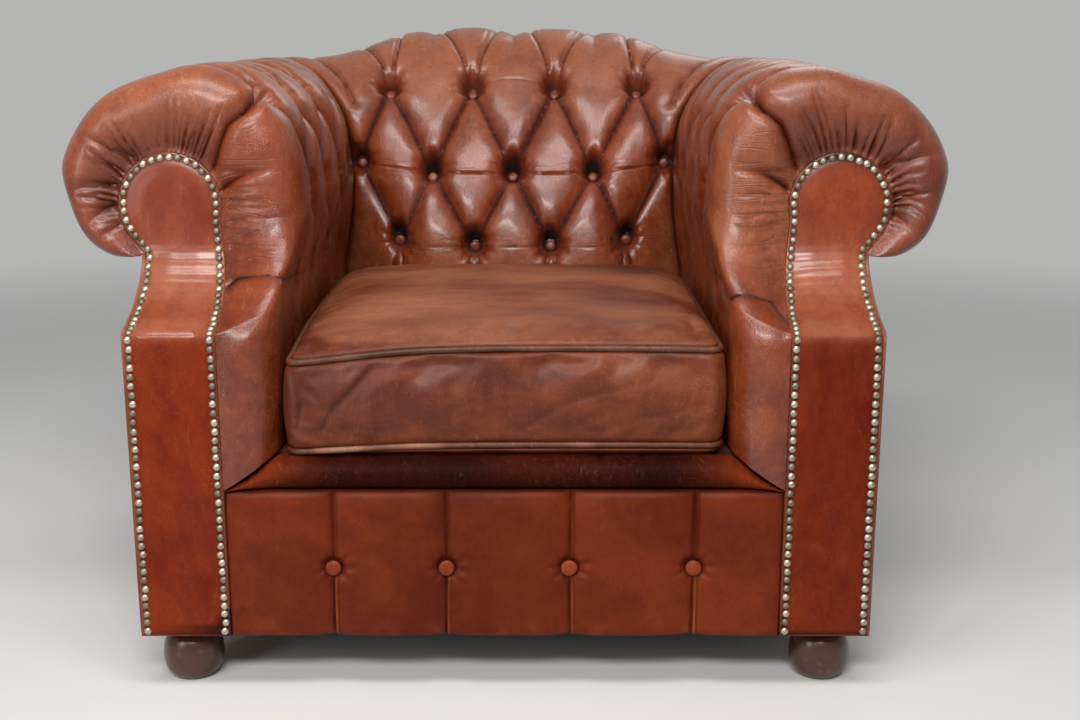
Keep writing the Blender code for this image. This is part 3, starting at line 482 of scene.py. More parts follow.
def hide(name, deep, fair, worn, polish=0.40, grain_size=420.0, scratch=0.5, grain_depth=0.0008,
         drag=(1.0, 1.0, 1.0), sheen=0.42, coat=0.22, rub_coat=0.0, mottled=0.45):
    """Waxed hide: mottled deep and fair, worn pale by rubbing, with a fine grain, and painted dark in its folds
    as shade.

    It reads three numbers of the mesh. The first is 1 where painted shade darkens a fold, pit or edge, and where
    the hide is stained or greasy. The second is 1 where the wax is worn away, and where a highlight is painted
    in the worn colour. The third, pulled, is 1 where the hide is dragged into fine level wrinkles, which are
    painted darker as their shade, as are the fine wrinkles of its noise. drag stretches the mottling one way.
    """
    skin = Finish(name, Specular_IOR_Level=sheen, Coat_Weight=coat, Coat_Roughness=0.24)
    crease, wear, pulled = [skin.attribute(key) for key in ("crease", "wear", "pulled")]
    cloudy = skin.noise(5.5, detail=4.0, roughness=0.6, stretch=drag, distortion=0.6)
    mottle = skin.noise(38.0, detail=5.0, roughness=0.65, stretch=drag)
    pores = skin.add("ShaderNodeTexVoronoi", {"feature": "DISTANCE_TO_EDGE"},
                     {"Vector": skin.place, "Scale": grain_size, "Randomness": 1.0})
    wrinkle = skin.noise(26.0, detail=7.0, roughness=0.62, stretch=(1.0, 1.0, 0.55), distortion=1.3)
    ridge = (wrinkle - 0.5).math("ABSOLUTE")
    net = skin.noise(48.0, detail=2.0, roughness=0.4, distortion=1.6)
    hairs = skin.noise(15.0, detail=3.0, roughness=0.5, stretch=(2.4, 1.0, 0.5), distortion=2.6)
    level = skin.noise(44.0, detail=1.0, roughness=0.4, stretch=(0.22, 0.22, 2.2), distortion=0.35)
    scratches = skin.line(net, 0.5, 0.011, 0.002) * skin.band(cloudy, 0.44, 0.60)
    scratches = (scratches + skin.line(hairs, 0.47, 0.0062, 0.0010)).clamp()
    wrinkled = skin.line(level, 0.5, 0.022, 0.004) * pulled
    tone = skin.band(cloudy * (1 - mottled) + mottle * mottled, 0.33 + 0.1 * mottled, 0.67 - 0.1 * mottled)
    rub_and_highlight = (wear * (0.30 + 1.2 * mottle)).clamp()
    body = skin.blend(rub_and_highlight, skin.blend(tone, deep, fair), worn)
    pale = tuple(min(1.0, 1.30 * c + 0.04) for c in worn)
    # Pale scratches, then painted shade: in the fine noise wrinkles, in the dragged level wrinkles, and in the
    # folds, pits and edges of the mesh.
    for cover, colour in ((scratches * (scratch * (0.45 + wear)).clamp(), pale),
                          (skin.band(ridge, 0.012, 0.0) * 0.25, [0.45 * c for c in deep]),
                          (wrinkled * 0.20, [0.4 * c for c in deep]),
                          ((crease * (0.55 + 0.42 * crease)).clamp(), [0.12 * c for c in deep])):
        body = skin.blend(cover, body, colour)
    skin.set(Base_Color=body,
             Roughness=(polish + 0.18 * mottle + 0.14 * rub_and_highlight + 0.45 * crease - 0.09).clamp(0.2, 0.9))
    if rub_coat:
        skin.set(Coat_Weight=(wear * rub_coat).clamp())
    grain = skin.band(pores, 0.0, 0.22)
    skin.bump(grain * 0.25 + ridge * 2.4 + mottle * 0.8 - wrinkled * 1.6, grain_depth, 0.55)
    return skin.material


def back_surface(row, column):
    """The stretched outside of the back before it is buttoned: points, normals and the place across."""
    width = np.interp(row, [0, 3, 6, 9], [0.93, 0.93, 0.99, 1.03])
    corner, middle = arm_section.point(row), back_section.point(row)
    x_end = corner[..., 0] - GAP
    fixed = width * PITCH / 6 * np.minimum(np.abs(column), BACK_FIXED)
    outer = unit((np.abs(column) - BACK_FIXED) / (BACK_END - BACK_FIXED))
    x = fixed + (x_end - fixed) * outer
    w = ease(unit((x - 0.12) / (np.minimum(x_end, 0.31) - 0.12)))[..., None]
    flat = (1 - w) * middle + w * (corner - np.array([MITRE, 0]))
    normal = (1 - w) * back_section.normal(row) + w * arm_section.normal(row)
    normal /= np.linalg.norm(normal, axis=-1, keepdims=True)
    side = np.sign(column)
    points = np.stack([side * x, flat[..., 0], flat[..., 1]], axis=-1)
    normals = np.stack([np.zeros_like(x), normal[..., 0], normal[..., 1]], axis=-1)
    return points, normals, side * x


def pad_grid(over_roll, columns):
    """A pad's fine grid of rows and columns: coarse behind the cushion, fine over the buttons."""
    rows = [np.linspace(0, 2.4, 16, endpoint=False), np.linspace(2.4, 12, 225, endpoint=False),
            np.linspace(12, 19, over_roll)]
    return np.meshgrid(np.concatenate(rows), columns, indexing="ij")


def back_folds(low, mid, top):
    """The folds between the back's buttons, the tucks over its roll and the pleats behind the cushion."""
    folds = [((a[:2], b[:2]), 0.95, 0.040, 0) for line in (low, top) for k, a in enumerate(line)
             for b in mid[k:k + 2]]
    folds += [(((a[0] + 0.2 * way, a[1] - 0.004), (1.04 * a[0] + way, foot + 0.01)), 0.62, 0.015, 0)
              for a in low for way in (-0.019, 0.019)]
    # Two tucks open like a V from each top button and run over the roll.
    for x, *_ in top:
        lean, spread = 0.12 * x, 0.046 if abs(x) < PITCH else 0.032
        for way in (-1, 1):
            for open_by, size, reach, fade in ((1.0, 0.50, 0.012, 0.50), (0.72, 0.20, 0.007, 1)):
                width = way * spread * open_by
                folds.append(([(x + 0.004 * way, t_top + 0.008),
                               (x + 0.30 * width + 0.15 * lean, t_top + 0.35 * (t_crest - t_top)),
                               (x + 0.70 * width + 0.50 * lean, t_top + 0.72 * (t_crest - t_top)),
                               (x + width + lean, t_crest + 0.010),
                               (x + 1.2 * width + 1.4 * lean, t_crest + 0.095)], size, reach, fade))
    # The hide is strained level between neighbouring buttons, and wrinkles a little on both sides of the line.
    for row_of, drop, strength in ((mid[1:4], 0.008, 0.26), (mid[:2], 0.003, 0.20), (mid[3:], 0.004, 0.28),
                                   (low, 0.001, 0.14), (top[1:3], -0.012, 0.10)):
        for a, b in zip(row_of, row_of[1:]):
            across = b[0] - a[0]
            sag = [(a[0] + across * f, a[1] - 4 * drop * f * (1 - f)) for f in (0.04, 0.2, 0.4, 0.6, 0.8, 0.96)]
            folds.append((sag, strength, 0.0062, 0))
            for x, share, steps in ((a[0], 0.7, [(0.012, 0.006), (0.035, 0.007), (0.060, 0.004)]),
                                    (b[0], 0.6, [(-0.012, 0.007), (-0.030, 0.010), (-0.055, 0.010)]),
                                    (a[0], 0.8, [(0.010, -0.008), (0.022, -0.020)])):
                folds.append(([(x + ds, a[1] + dt) for ds, dt in steps], share * strength, 0.0055, 1))
    # Short tucks fan out from the corner buttons over the joint with the arms.
    for a in (mid[0], mid[-1]):
        out = np.sign(a[0])
        folds += [((a[:2], (a[0] + 0.045 * out, t_top - 0.01)), 0.40, 0.022, 1),
                  (((a[0] + 0.01 * out, t_top - 0.04), (a[0] + 0.10 * out, t_crest + 0.03)), 0.45, 0.030, 0.5)]
    return folds


half = np.concatenate([np.linspace(0, BACK_FIXED, 92), np.linspace(BACK_FIXED, BACK_END, 41)[1:]])
row, column = pad_grid(84, np.concatenate([-half[:0:-1], half]))
points, normals, s = back_surface(row, column)
t = back_section.along(row)
foot, t_low, t_mid, t_top, t_crest, over = [float(back_section.along(r)) for r in (0, 3, 6, 9, 12, 15)]
centres = [sum(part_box(f"back_button_{k:02d}"), Vector()) / 2 for k in range(1, 14)]
low = [(c.x, t_low, BACK_PULL[3], 0.014) for c in centres[0:4]]
mid = [(c.x, t_mid, BACK_PULL[6], 0.018 if abs(c.x) < 1.5 * PITCH else 0.004) for c in centres[4:9]]
top = [(c.x, t_top, BACK_PULL[9], 0.004) for c in centres[9:13]]
depth, crease = tufting(s, t, low + mid + top, back_folds(low, mid, top))
fade = unit((t - foot) / 0.03) * unit((over + 0.20 - t) / 0.10)
depth *= fade
# Over the roll the hide rises above each button and dips between them.
step = 1.03 * PITCH
from_dip = 2 * np.abs(s / step - np.round(s / step))
dip = round_over(1 - np.hypot(from_dip, 0.06)) * (np.abs(s) < 1.5 * step)
rise = unit((t - t_top - 0.03) / (t_crest - t_top - 0.03))
depth += 0.0165 * dip * rise * unit((over + 0.12 - t) / 0.12)
# The joint with each arm is sewn in, so both sides round over into it.
joint = unit((arm_section.point(row)[..., 0] - GAP - np.abs(s)) / 0.020)
depth += PAD_EDGE * round_over(1 - joint)
depth -= 0.0022 * lumps(points, 9.0, 1) + 0.0010 * lumps(points, 24.0, 2)
high = unit(1 - depth / 0.012)
# Worn paler over the top of the roll; low down the puffs are painted paler as their highlight.
rub_and_highlight = 0.48 * unit((points[..., 2] - 0.58) / 0.14) + 0.30 * unit((0.52 - points[..., 2]) / 0.06)
core_row, core_col = np.meshgrid(np.linspace(0, 19, 20), np.linspace(-BACK_END, BACK_END, 13), indexing="ij")
corner, middle = [read(core_row, STATION_ROWS, core) for core in (ARM_CORE, BACK_CORE)]
x = (corner[..., 0] - GAP) * core_col / BACK_END
w = unit((np.abs(x) - 0.12) / 0.15)[..., None]
flat = (1 - w) * middle + w * (corner - np.array([MITRE, 0]))
tufted_hide = hide("buttoned_hide", (0.135, 0.017, 0.004), (0.270, 0.048, 0.013), (0.400, 0.135, 0.052),
                   polish=0.22, sheen=0.46, coat=0.42)
stuffed_pad("buttoned_back", "inside_back", points - depth[..., None] * normals,
            np.stack([x, flat[..., 0], flat[..., 1]], axis=-1), tufted_hide, crease=crease * fade,
            wear=unit((rub_and_highlight + 0.10) * high),
            pulled=0.8 * bell((t - t_mid + 0.002) / 0.014) + 0.4 * bell((t - t_low) / 0.012))

# ------------------------------------------------------------------ inside arms
# Each arm is one buttoned hide that starts beside the cushion, rolls over the arm rail and is tucked up under
# the roll. At the front it is gathered round the head of the facing, where it bulges over the nails.
FACING_IN, FACING_OUT, FACING_T = 0.3225, 0.427, 0.0155
KNEE_Z, NECK_Z = 0.433, 0.507
KNEE_LEAN, NECK_LEAN = math.radians(75), math.radians(29)
NECK_IN = 0.332
HEAD_X, HEAD_Z, HEAD_R = 0.395, 0.565, 0.0615
HEAD_TURNS = (195, 168, 140, 125, 110, 95, 72, 49, 27, 5, -15, -33)
FRONT_Y = -0.435
REST_Y, HEAD_Y, CAP_RUN = -0.375, -0.285, 0.10       # where the front begins at the arm rest and the head
LIP_Z = 0.250                   # where the pad starts beside the end of the rolled lip
ARM_FIRST_Y, ARM_PITCH = 0.105, 0.124
ARM_PULL = {9: 0.032, 6: 0.028, 3: 0.022}
REAR, BODY, FRONT, CAP = 3, 18, 3, 5        # columns behind the buttons, along them, ahead, round the front
SIDES = (("left", -1), ("right", 1))


def facing_y(z):
    """Depth of the facing at a height: upright to the knee, swept back to the neck, then nearly upright."""
    lean = KNEE_LEAN + (NECK_LEAN - KNEE_LEAN) * unit((z - KNEE_Z) / (NECK_Z - KNEE_Z))
    sweep = (NECK_Z - KNEE_Z) / (KNEE_LEAN - NECK_LEAN) * np.log(np.cos(lean) / math.cos(KNEE_LEAN))
    waist = 0.0020 * unit(1 - np.abs(z - NECK_Z) / 0.016) ** 2
    return FRONT_Y + sweep + 0.06 * np.maximum(0.0, z - NECK_Z) - waist


def soft_front(z):
    """The same depth with its corner at the knee eased, for the stuffing beside it."""
    shifts = np.linspace(-0.034, 0.034, 15)
    weight = 1 - (shifts / 0.036) ** 2
    return sum(w * facing_y(z + d) for w, d in zip(weight, shifts)) / weight.sum()


def rim_curve():
    """Rim of the facing (x, z) by row, from its inner side over the head to the outer neck."""
    rim = [(FACING_IN, LIP_Z + t * (KNEE_Z - LIP_Z)) for t in (0, 0.35, 0.7, 1)]
    rim += [(FACING_IN + t * (NECK_IN - FACING_IN), KNEE_Z + t * (NECK_Z - KNEE_Z)) for t in (1 / 3, 2 / 3, 1)]
    rim += [*arc((HEAD_X, HEAD_Z), (HEAD_R, HEAD_R), HEAD_TURNS), (FACING_OUT, NECK_Z)]
    rows = np.arange(len(rim), dtype=float)
    fine = np.linspace(0, len(rim) - 1, 400)
    turns = np.interp(fine, np.arange(7, 19), HEAD_TURNS)
    on_head = ((fine >= 7) & (fine <= 18))[:, None]
    shape = np.where(on_head, arc((HEAD_X, HEAD_Z), (HEAD_R, HEAD_R), turns), read(fine, rows, rim))
    for _ in range(12):
        shape[1:-1] = 0.25 * shape[:-2] + 0.5 * shape[1:-1] + 0.25 * shape[2:]
    return fine, shape


RIM_ROWS, RIM_SHAPE = rim_curve()


def arm_surface(row, column):
    """The stretched outside of an arm before it is buttoned: points, normals, and the place along it."""
    section, flat_normal = arm_section.point(row), arm_section.normal(row)
    rim = read(row, RIM_ROWS, RIM_SHAPE)
    t = ease(unit((row - 3) / 3))
    end_y, bulge = REST_Y + t * (HEAD_Y - REST_Y), 0.010 + t * 0.011
    rear_y = section[..., 0] - MITRE - GAP
    first = np.minimum(ARM_FIRST_Y, rear_y - 0.006)
    last = ARM_FIRST_Y - 3 * ARM_PITCH
    y = np.where(column <= REAR, rear_y + (first - rear_y) * column / REAR,
                 np.where(column <= REAR + BODY, first + (last - first) * (column - REAR) / BODY,
                          last + (end_y - last) * unit((column - REAR - BODY) / FRONT)))
    k = unit((column - REAR - BODY - FRONT) / CAP)
    turn = k * math.pi / 2
    front = soft_front(rim[..., 1])
    front = front + (facing_y(rim[..., 1]) - front) * k ** 4
    y = np.where(k > 0, end_y + (front - end_y) * np.sin(turn) - bulge * np.sin(2 * turn), y)
    flat = rim + (section - rim) * np.cos(turn)[..., None]
    points = np.stack([flat[..., 0], y, flat[..., 1]], axis=-1)
    normals = np.stack([flat_normal[..., 0] * np.cos(turn), -np.sin(turn), flat_normal[..., 1] * np.cos(turn)],
                       axis=-1)
    normals /= np.linalg.norm(normals, axis=-1, keepdims=True)
    return points, normals, np.where(k > 0, end_y - CAP_RUN * k, y), k


def arm_tufts(chance, side):
    """Buttons and folds of one arm in (s, t), with the gathers of its front drawn by chance."""
    foot, t_low, t_mid, t_top = [float(arm_section.along(r)) for r in (0, 3, 6, 9)]
    top = [(ARM_FIRST_Y - k * ARM_PITCH, t_top, ARM_PULL[9], 0.008) for k in range(4)]
    mid = [(ARM_FIRST_Y - (k + 0.5) * ARM_PITCH, t_mid, ARM_PULL[6], 0.010) for k in range(3)]
    low = [(ARM_FIRST_Y - (k + 1) * ARM_PITCH, t_low, ARM_PULL[3], 0.006) for k in range(3)]
    folds = [((a[:2], b[:2]), 0.90, 0.042, 0) for k, a in enumerate(mid)
             for b in top[k:k + 2] + low[max(0, k - 1):k + 1]]
    folds.append(((mid[0][:2], (ARM_FIRST_Y, t_low)), 0.75, 0.042, 0))
    folds += [((a[:2], (a[0], foot)), 0.65, 0.036, 0) for a in low]
    # Tucks over the roll: each pleat laps over the one behind it, and leans back as it goes over.
    for k, (y, *_) in enumerate(top):
        for steps, size, reach, fading in (
                ([(0, 0), (0.016, 0.07), (0.052 + 0.006 * k, 0.17)], 0.62, 0.034, 0.5),
                ([(-0.004, 0.012), (-0.002, 0.07), (0.010, 0.13)], 0.30, 0.015, 1),
                ([(0.018, 0.004), (0.045, 0.05), (0.088, 0.10)], 0.30, 0.016, 1)):
            folds.append(([(y + ds, t_top + dt) for ds, dt in steps], size, reach, fading))

    # The front. A place there is a height, or a row, and how far it is from the side (0) to the nails (1).
    rows = np.linspace(2, 11, 60)

    def on_front(z, near):
        heights = read(rows, RIM_ROWS, RIM_SHAPE)[:, 1]
        heights += (arm_section.point(rows)[:, 1] - heights) * math.cos(near * math.pi / 2)
        row = np.interp(z, heights, rows)
        rest = ease(unit((row - 3) / 3))
        return REST_Y + (HEAD_Y - REST_Y) * rest - CAP_RUN * near, float(arm_section.along(row))

    def round_head(row, near):
        return HEAD_Y - CAP_RUN * near, float(arm_section.along(row))

    # Long folds: level at the arm rest, up from the nails to the first button, and a shorter one below it.
    knee, lift = (0.469, 0.012) if side < 0 else (0.440, 0.018)
    long_fold = [on_front(knee + lift * up, near) for up, near in ((0, 1), (1, 0.86), (1.5, 0.60), (1.5, 0.30),
                                                                  (1, 0.05))]
    folds += [(long_fold + [(-0.330, t_low + 0.016), (-0.215, t_low + 0.004)], 0.88, 0.026, 0.5),
              ([round_head(8.85, 1), round_head(9.22, 0.76), round_head(9.37, 0.60), round_head(9.05, 0.37),
                top[-1][:2]], 0.80, 0.026, 0),
              ([on_front(0.580, 1), on_front(0.591, 0.88), on_front(0.602, 0.72), on_front(0.606, 0.52)],
               0.74, 0.020, 0.7)]
    # Deep gathers over the outer half of the head, then many shallow ones all round it.
    for row, near, lean, size in ((14.0, 0.42, 1.15, 0.75), (15.5, 0.48, 1.1, 0.70), (16.5, 0.55, 1.1, 0.85),
                                  (17.6, 0.50, 0.8, 0.62)):
        row += 0.25 * side
        folds.append(([round_head(row, 1), round_head(row + 0.62 * lean, 0.76), round_head(row + lean, near)],
                      size, 0.019, 0.85))
    row = 9.9
    while row < 17.8:
        end = chance.uniform(0.45, 0.80)
        lean = chance.normal(0, 0.20) + 0.10 * (row - 12)
        middle = round_head(row + 0.3 * lean, (1 + end) / 2)
        folds.append(([round_head(row, 1), middle, round_head(row + lean, end)],
                      chance.uniform(0.15, 0.60), chance.uniform(0.009, 0.014), 1))
        row += chance.uniform(0.20, 0.46)
    # Fine level drag lines beside the inner nails, most of them short.
    for z in np.linspace(0.502, 0.600, 11):
        z += chance.normal(0, 0.0025)
        near = chance.uniform(0.72, 0.98)
        size = chance.uniform(0.15, 0.50)
        wave = chance.normal(0, 0.0018, 3)
        strain = [on_front(z + shift, near - share * size)
                  for shift, share in zip((*wave, 0.5 * wave[0]), (0, 0.33, 0.66, 1))]
        folds.append((strain, chance.uniform(0.08, 0.24), 0.0060, 0.9))
    return top + mid + low, folds


arm_hide = hide("arm_hide", (0.120, 0.013, 0.003), (0.255, 0.042, 0.010), (0.400, 0.120, 0.042), polish=0.24,
                sheen=0.42, coat=0.34)
columns = np.cumsum([0, REAR, BODY, FRONT, CAP])
columns = np.concatenate([np.linspace(begin, end, count + 1)[:count] for begin, end, count in
                          zip(columns, columns[1:], (8, 140, 26, 61))] + [columns[-1:]])
foot, t_low, t_top, over = [float(arm_section.along(r)) for r in (0, 3, 9, 16)]
for (word, side), seed in zip(SIDES, (11, 23)):
    row, column = pad_grid(136, columns)
    points, normals, s, cap = arm_surface(row, column)
    t = arm_section.along(row)
    depth, crease = tufting(s, t, *arm_tufts(np.random.default_rng(seed), side), full=0.017)
    fade = unit((t - foot) / 0.03) * unit((over + 0.10 - t) / 0.06)
    curl = unit(1 - (19 - row) / 1.7)
    held = 1 - unit((cap - 0.93) / 0.07) ** 2
    depth *= fade * (0.15 + 0.85 * held)
    joint = unit((points[..., 0] - MITRE - GAP - points[..., 1]) / 0.020)
    depth += PAD_EDGE * round_over(1 - joint) + 0.016 * round_over(curl) * (1 - cap ** 4)
    depth -= held * (0.0026 * lumps(points, 8.0, seed) + 0.0011 * lumps(points, 25.0, seed + 1))
    # The puffs swell most where the hide turns over the rail, and are flattest beside the cushion.
    high = unit(1 - depth / 0.012)
    rolled, waist = bell((t - t_top + 0.005) / 0.075), bell((t - t_low - 0.01) / 0.060)
    depth -= high * (1 - cap) * unit((column - 0.5) / 3) * (0.0095 * rolled - 0.0085 * waist)
    on_top = unit((points[..., 2] - 0.60) / 0.10)
    wear = unit((0.42 - 0.08 * side) * high * on_top * (1 - 0.4 * cap) + 0.10 * high)
    # The right arm's side ahead of its buttons is painted fair, as a highlight.
    painted_highlight_side = 0.50 * (side > 0) * unit((cap - 0.05) / 0.2) * unit((9.5 - row) / 2.0) * high
    wear = unit(wear + painted_highlight_side * unit((row - 3.5) / 1.5))
    # Its front is painted dark in the gathers round the head as their shade, and dragged into wrinkles beside
    # the inner nails, which are painted darker as their shade.
    gather_shade = unit((row - 8.2) / 1.5) * bell((1 - cap) / 0.36)
    crease = np.maximum(crease, 0.66 * gather_shade * unit(0.9 + 0.5 * lumps(points, 22.0, seed + 2)))
    pulled = unit((row - 4.2) / 0.6) * unit((9.6 - row) / 1.0) * unit((cap - 0.30) / 0.4)
    core_row, core_col = np.meshgrid(np.linspace(0, 19, 20), np.linspace(0, 1, 11), indexing="ij")
    flat = read(core_row, STATION_ROWS, ARM_CORE)
    rear = flat[..., 0] - MITRE - GAP
    y = rear + (facing_y(flat[..., 1]) + 0.045 - rear) * core_col
    mirror = np.array([side, 1, 1])
    stuffed_pad(f"buttoned_arm_{word}", f"inside_arm_{word}", (points - depth[..., None] * normals) * mirror,
                np.stack([flat[..., 0], y, flat[..., 1]], axis=-1) * mirror, arm_hide,
                crease=crease * fade, wear=wear, pulled=pulled)

# ------------------------------------------------------------------ facings
# The front of each arm is a padded panel: upright, swept back over the knee, then a round head inside the
# roll. Its hide is drawn over the edge and held by a close row of nails.
FOOT_H = 0.069
NAIL_INSET = 0.0065
INSETS = np.array([0, 0.0008, 0.002, 0.004, 0.0065, 0.009, 0.012, 0.016, 0.020, 0.025, 0.030, 0.035,
                   0.040, 0.045])


def even(path, count, ends=0.0):
    """A path's points at an even step, from one end to the other."""
    along = lengths(path)
    return read(np.linspace(ends, along[-1] - ends, count), along, path)


def facing_edge(step):
    """The facing's edge at an even step, from its inner foot over the head to its outer foot."""
    outer = [(FACING_OUT, z) for z in np.linspace(NECK_Z, KNEE_Z, 8)[1:]]
    edge = np.array([(FACING_IN, FOOT_H), *RIM_SHAPE[:-1], (FACING_OUT, NECK_Z), *outer, (FACING_OUT, FOOT_H)])
    return even(edge, round(lengths(edge)[-1] / step) + 1)


def facing_normal(z):
    """Outward direction (y, z) of the facing's front at a height."""
    rise = (facing_y(z + 0.0005) - facing_y(z - 0.0005)) / 0.001
    return np.stack([-np.ones_like(rise), rise], axis=-1) / np.hypot(1, rise)[..., None]


# Its worn colour also paints the highlight over the knee and in the neck.
facing_hide = hide("facing_hide", (0.175, 0.012, 0.001), (0.275, 0.030, 0.002), (0.500, 0.165, 0.075),
                   polish=0.24, grain_depth=0.0004, drag=(1.2, 1.0, 0.7), sheen=0.16, coat=0.0, scratch=0.20,
                   rub_coat=2.2)
edge = facing_edge(0.003)
spine = np.stack([np.interp(edge[:, 1], [KNEE_Z, HEAD_Z], [(FACING_IN + FACING_OUT) / 2, HEAD_X]),
                  np.clip(edge[:, 1], FOOT_H + 0.05, HEAD_Z)], axis=-1)
reach = np.linalg.norm(edge - spine, axis=1)
share = np.clip(1 - INSETS[:, None] / reach, 0.02, 1)
share[-1] = 0.0
inset = reach * (1 - share)
x, z = np.moveaxis(spine + (edge - spine) * share[..., None], -1, 0)
shell_x, shell_z = np.moveaxis(spine + (edge - spine) * np.array([1.0, 0.6, 0.3, 0.0])[:, None, None], -1, 0)
at_nails = inset - NAIL_INSET
front = numbered(*x.shape)
back = numbered(*shell_x.shape, first=front.size)
faces = quads(front, closed=True) + quads(back[:, ::-1], closed=True)
faces += quads(np.stack([back[0], front[0]]), closed=True)
for (word, side), seed, stain, grime, dark, ring in zip(SIDES, (31, 37), (0.95, 0.15), (0.12, 0.45),
                                                        (0.17, 0.38), (0.20, 0.42)):
    points = np.stack([side * x, facing_y(z), z], axis=-1)
    inside = unit(inset / 0.02)
    puff = 0.0035 * unit(at_nails / 0.022) ** 0.7 - 0.0012 * bell(at_nails / 0.003)
    puff -= 0.0035 * round_over(unit(1 - inset / 0.004))
    puff += inside * (0.0012 * lumps(points, 9.0, seed) + 0.0004 * lumps(points, 40.0, seed + 1))
    # Shallow drag wrinkles cross the hollow of the neck.
    puff += 0.0006 * bell((z - 0.480) / 0.030) * inside * np.sin(z * 700 + 3 * lumps(points, 12.0, seed + 2))
    points[..., 1:] += puff[..., None] * facing_normal(z)
    shell = np.stack([side * shell_x, facing_y(shell_z) + FACING_T, shell_z], axis=-1)
    panel = new_piece(f"facing_panel_{word}", np.vstack([points.reshape(-1, 3), shell.reshape(-1, 3)]), faces,
                      facing_hide)
    # The left panel is stained dark at its inner foot, and both are greasy at the top and round the head. Along
    # the nail line and at its very edge the hide is painted darker as the shade where it dips in.
    corner = (x - FACING_IN) / 0.050 + (z - FOOT_H) / 0.036 - 0.35 * lumps(points, 60.0, 5)
    crease = 0.40 * bell(at_nails / 0.0035) + 0.25 * bell(inset / 0.003) + stain * unit((1.05 - corner) / 0.25)
    crease += grime * bell((z - 0.622) / 0.012) * unit(0.6 + lumps(points, 30.0, seed + 3))
    crease += ring * bell(at_nails / 0.011) * unit((z - 0.52) / 0.04)
    # Below the knee the hide is painted darker as shade, the right panel more than the left, with a band of
    # painted shadow just under the knee. Over the knee and in the neck it is painted paler as a highlight, from
    # the knee up the whole panel is a little paler as lit, and its very edge is worn pale.
    crease += dark * unit((0.43 - z) / 0.04) + 0.26 * bell((z - 0.412) / 0.020) * inside
    rub_and_highlight = 0.42 * bell((z - 0.480) / 0.038) + 0.16 * unit((z - 0.42) / 0.06)
    rub_and_highlight += 0.45 * bell((z - KNEE_Z - 0.003) / 0.0065) * inside
    add_attributes(panel, crease=unit(crease), wear=unit(rub_and_highlight + 0.35 * bell(inset / 0.0025)))
    turn_out(panel, weld=True, sharp=60)
    finish_piece(panel, "leather", f"facing_{word}")


# ------------------------------------------------------------------ nails
# Close rows of domed brass nails, gone grey-green and dull, driven by hand so that no two sit quite alike.
NAIL_PITCH, NAIL_R, NAIL_H = 0.0106, 0.0047, 0.0036


class Tree:
    """A Geometry Nodes tree with named inputs, and a method that adds a linked node."""

    def __init__(self, name, **inputs):
        self.tree = bpy.data.node_groups.new(name, "GeometryNodeTree")
        for key, kind in inputs.items():
            self.tree.interface.new_socket(key, in_out="INPUT", socket_type="NodeSocket" + kind)
        self.tree.interface.new_socket("Pieces", in_out="OUTPUT", socket_type="NodeSocketGeometry")
        self.inputs = self.tree.nodes.new("NodeGroupInput").outputs

    def add(self, kind, links, values=(), output=0, **settings):
        node = self.tree.nodes.new(kind)
        for key, value in settings.items():
            setattr(node, key, value)
        for key, value in values:
            node.inputs[key].default_value = value
        for key, source in links:
            self.tree.links.new(source, node.inputs[key])
        return node.outputs[output] if node.outputs else None

    def finish(self, geometry):
        real = self.add("GeometryNodeRealizeInstances", [(0, geometry)])
        coat = self.add("GeometryNodeSetMaterial", [("Geometry", real), ("Material", self.inputs["Material"])])
        self.add("NodeGroupOutput", [(0, coat)])

    def run(self, obj, **values):
        """Set the inputs by name, and keep the result as one plain mesh."""
        modifier = obj.modifiers.new("tree", "NODES")
        modifier.node_group = self.tree
        for item in self.tree.interface.items_tree:
            if item.in_out == "INPUT" and item.name in values:
                modifier[item.identifier] = values[item.name]
        flatten(obj)


def flatten(obj):
    """Turn an object with modifiers into one plain mesh, and drop the modifiers."""
    graph = bpy.context.evaluated_depsgraph_get()
    mesh = bpy.data.meshes.new_from_object(obj.evaluated_get(graph))
    obj.modifiers.clear()
    obj.data = mesh


def set_on_points():
    """Node tree that sets one small piece on every point, turned to the point's aim, each a bit different."""
    tree = Tree("set_on_points", Points="Geometry", Piece="Object", Material="Material", Tilt="Float",
                Uneven="Float", Seed="Int")
    given = tree.inputs

    def chance(kind, low, high):
        return tree.add("FunctionNodeRandomValue", [("Seed", given["Seed"])], [low, high], data_type=kind,
                        output=0 if kind == "FLOAT_VECTOR" else 1)

    piece = tree.add("GeometryNodeObjectInfo", [("Object", given["Piece"])], output="Geometry")
    aim = tree.add("GeometryNodeInputNamedAttribute", [], [("Name", "aim")], data_type="FLOAT_VECTOR")
    jitter = chance("FLOAT_VECTOR", (0, (-1, -1, -1)), (1, (1, 1, 1)))
    shake = tree.add("ShaderNodeVectorMath", [(0, jitter), ("Scale", given["Tilt"])], operation="SCALE")
    lean = tree.add("ShaderNodeVectorMath", [(0, aim), (1, shake)], operation="ADD")
    turn = chance("FLOAT_VECTOR", (0, (0, 0, 0)), (1, (0, 0, math.tau)))
    spin = tree.add("FunctionNodeEulerToRotation", [("Euler", turn)])
    face = tree.add("FunctionNodeAlignRotationToVector", [("Rotation", spin), ("Vector", lean)], axis="Z")
    spread = chance("FLOAT", (2, -1.0), (3, 1.0))
    size = tree.add("ShaderNodeMath", [(0, spread), (1, given["Uneven"])], [(2, 1.0)], operation="MULTIPLY_ADD")
    placed = tree.add("GeometryNodeInstanceOnPoints", [
        ("Points", given["Points"]), ("Instance", piece), ("Rotation", face), ("Scale", size)])
    tone = chance("FLOAT", (2, 0.0), (3, 1.0))
    tree.finish(tree.add("GeometryNodeStoreNamedAttribute", [("Geometry", placed), ("Value", tone)],
                         [("Name", "tone")], data_type="FLOAT", domain="INSTANCE"))
    return tree


SET_ON_POINTS = set_on_points()


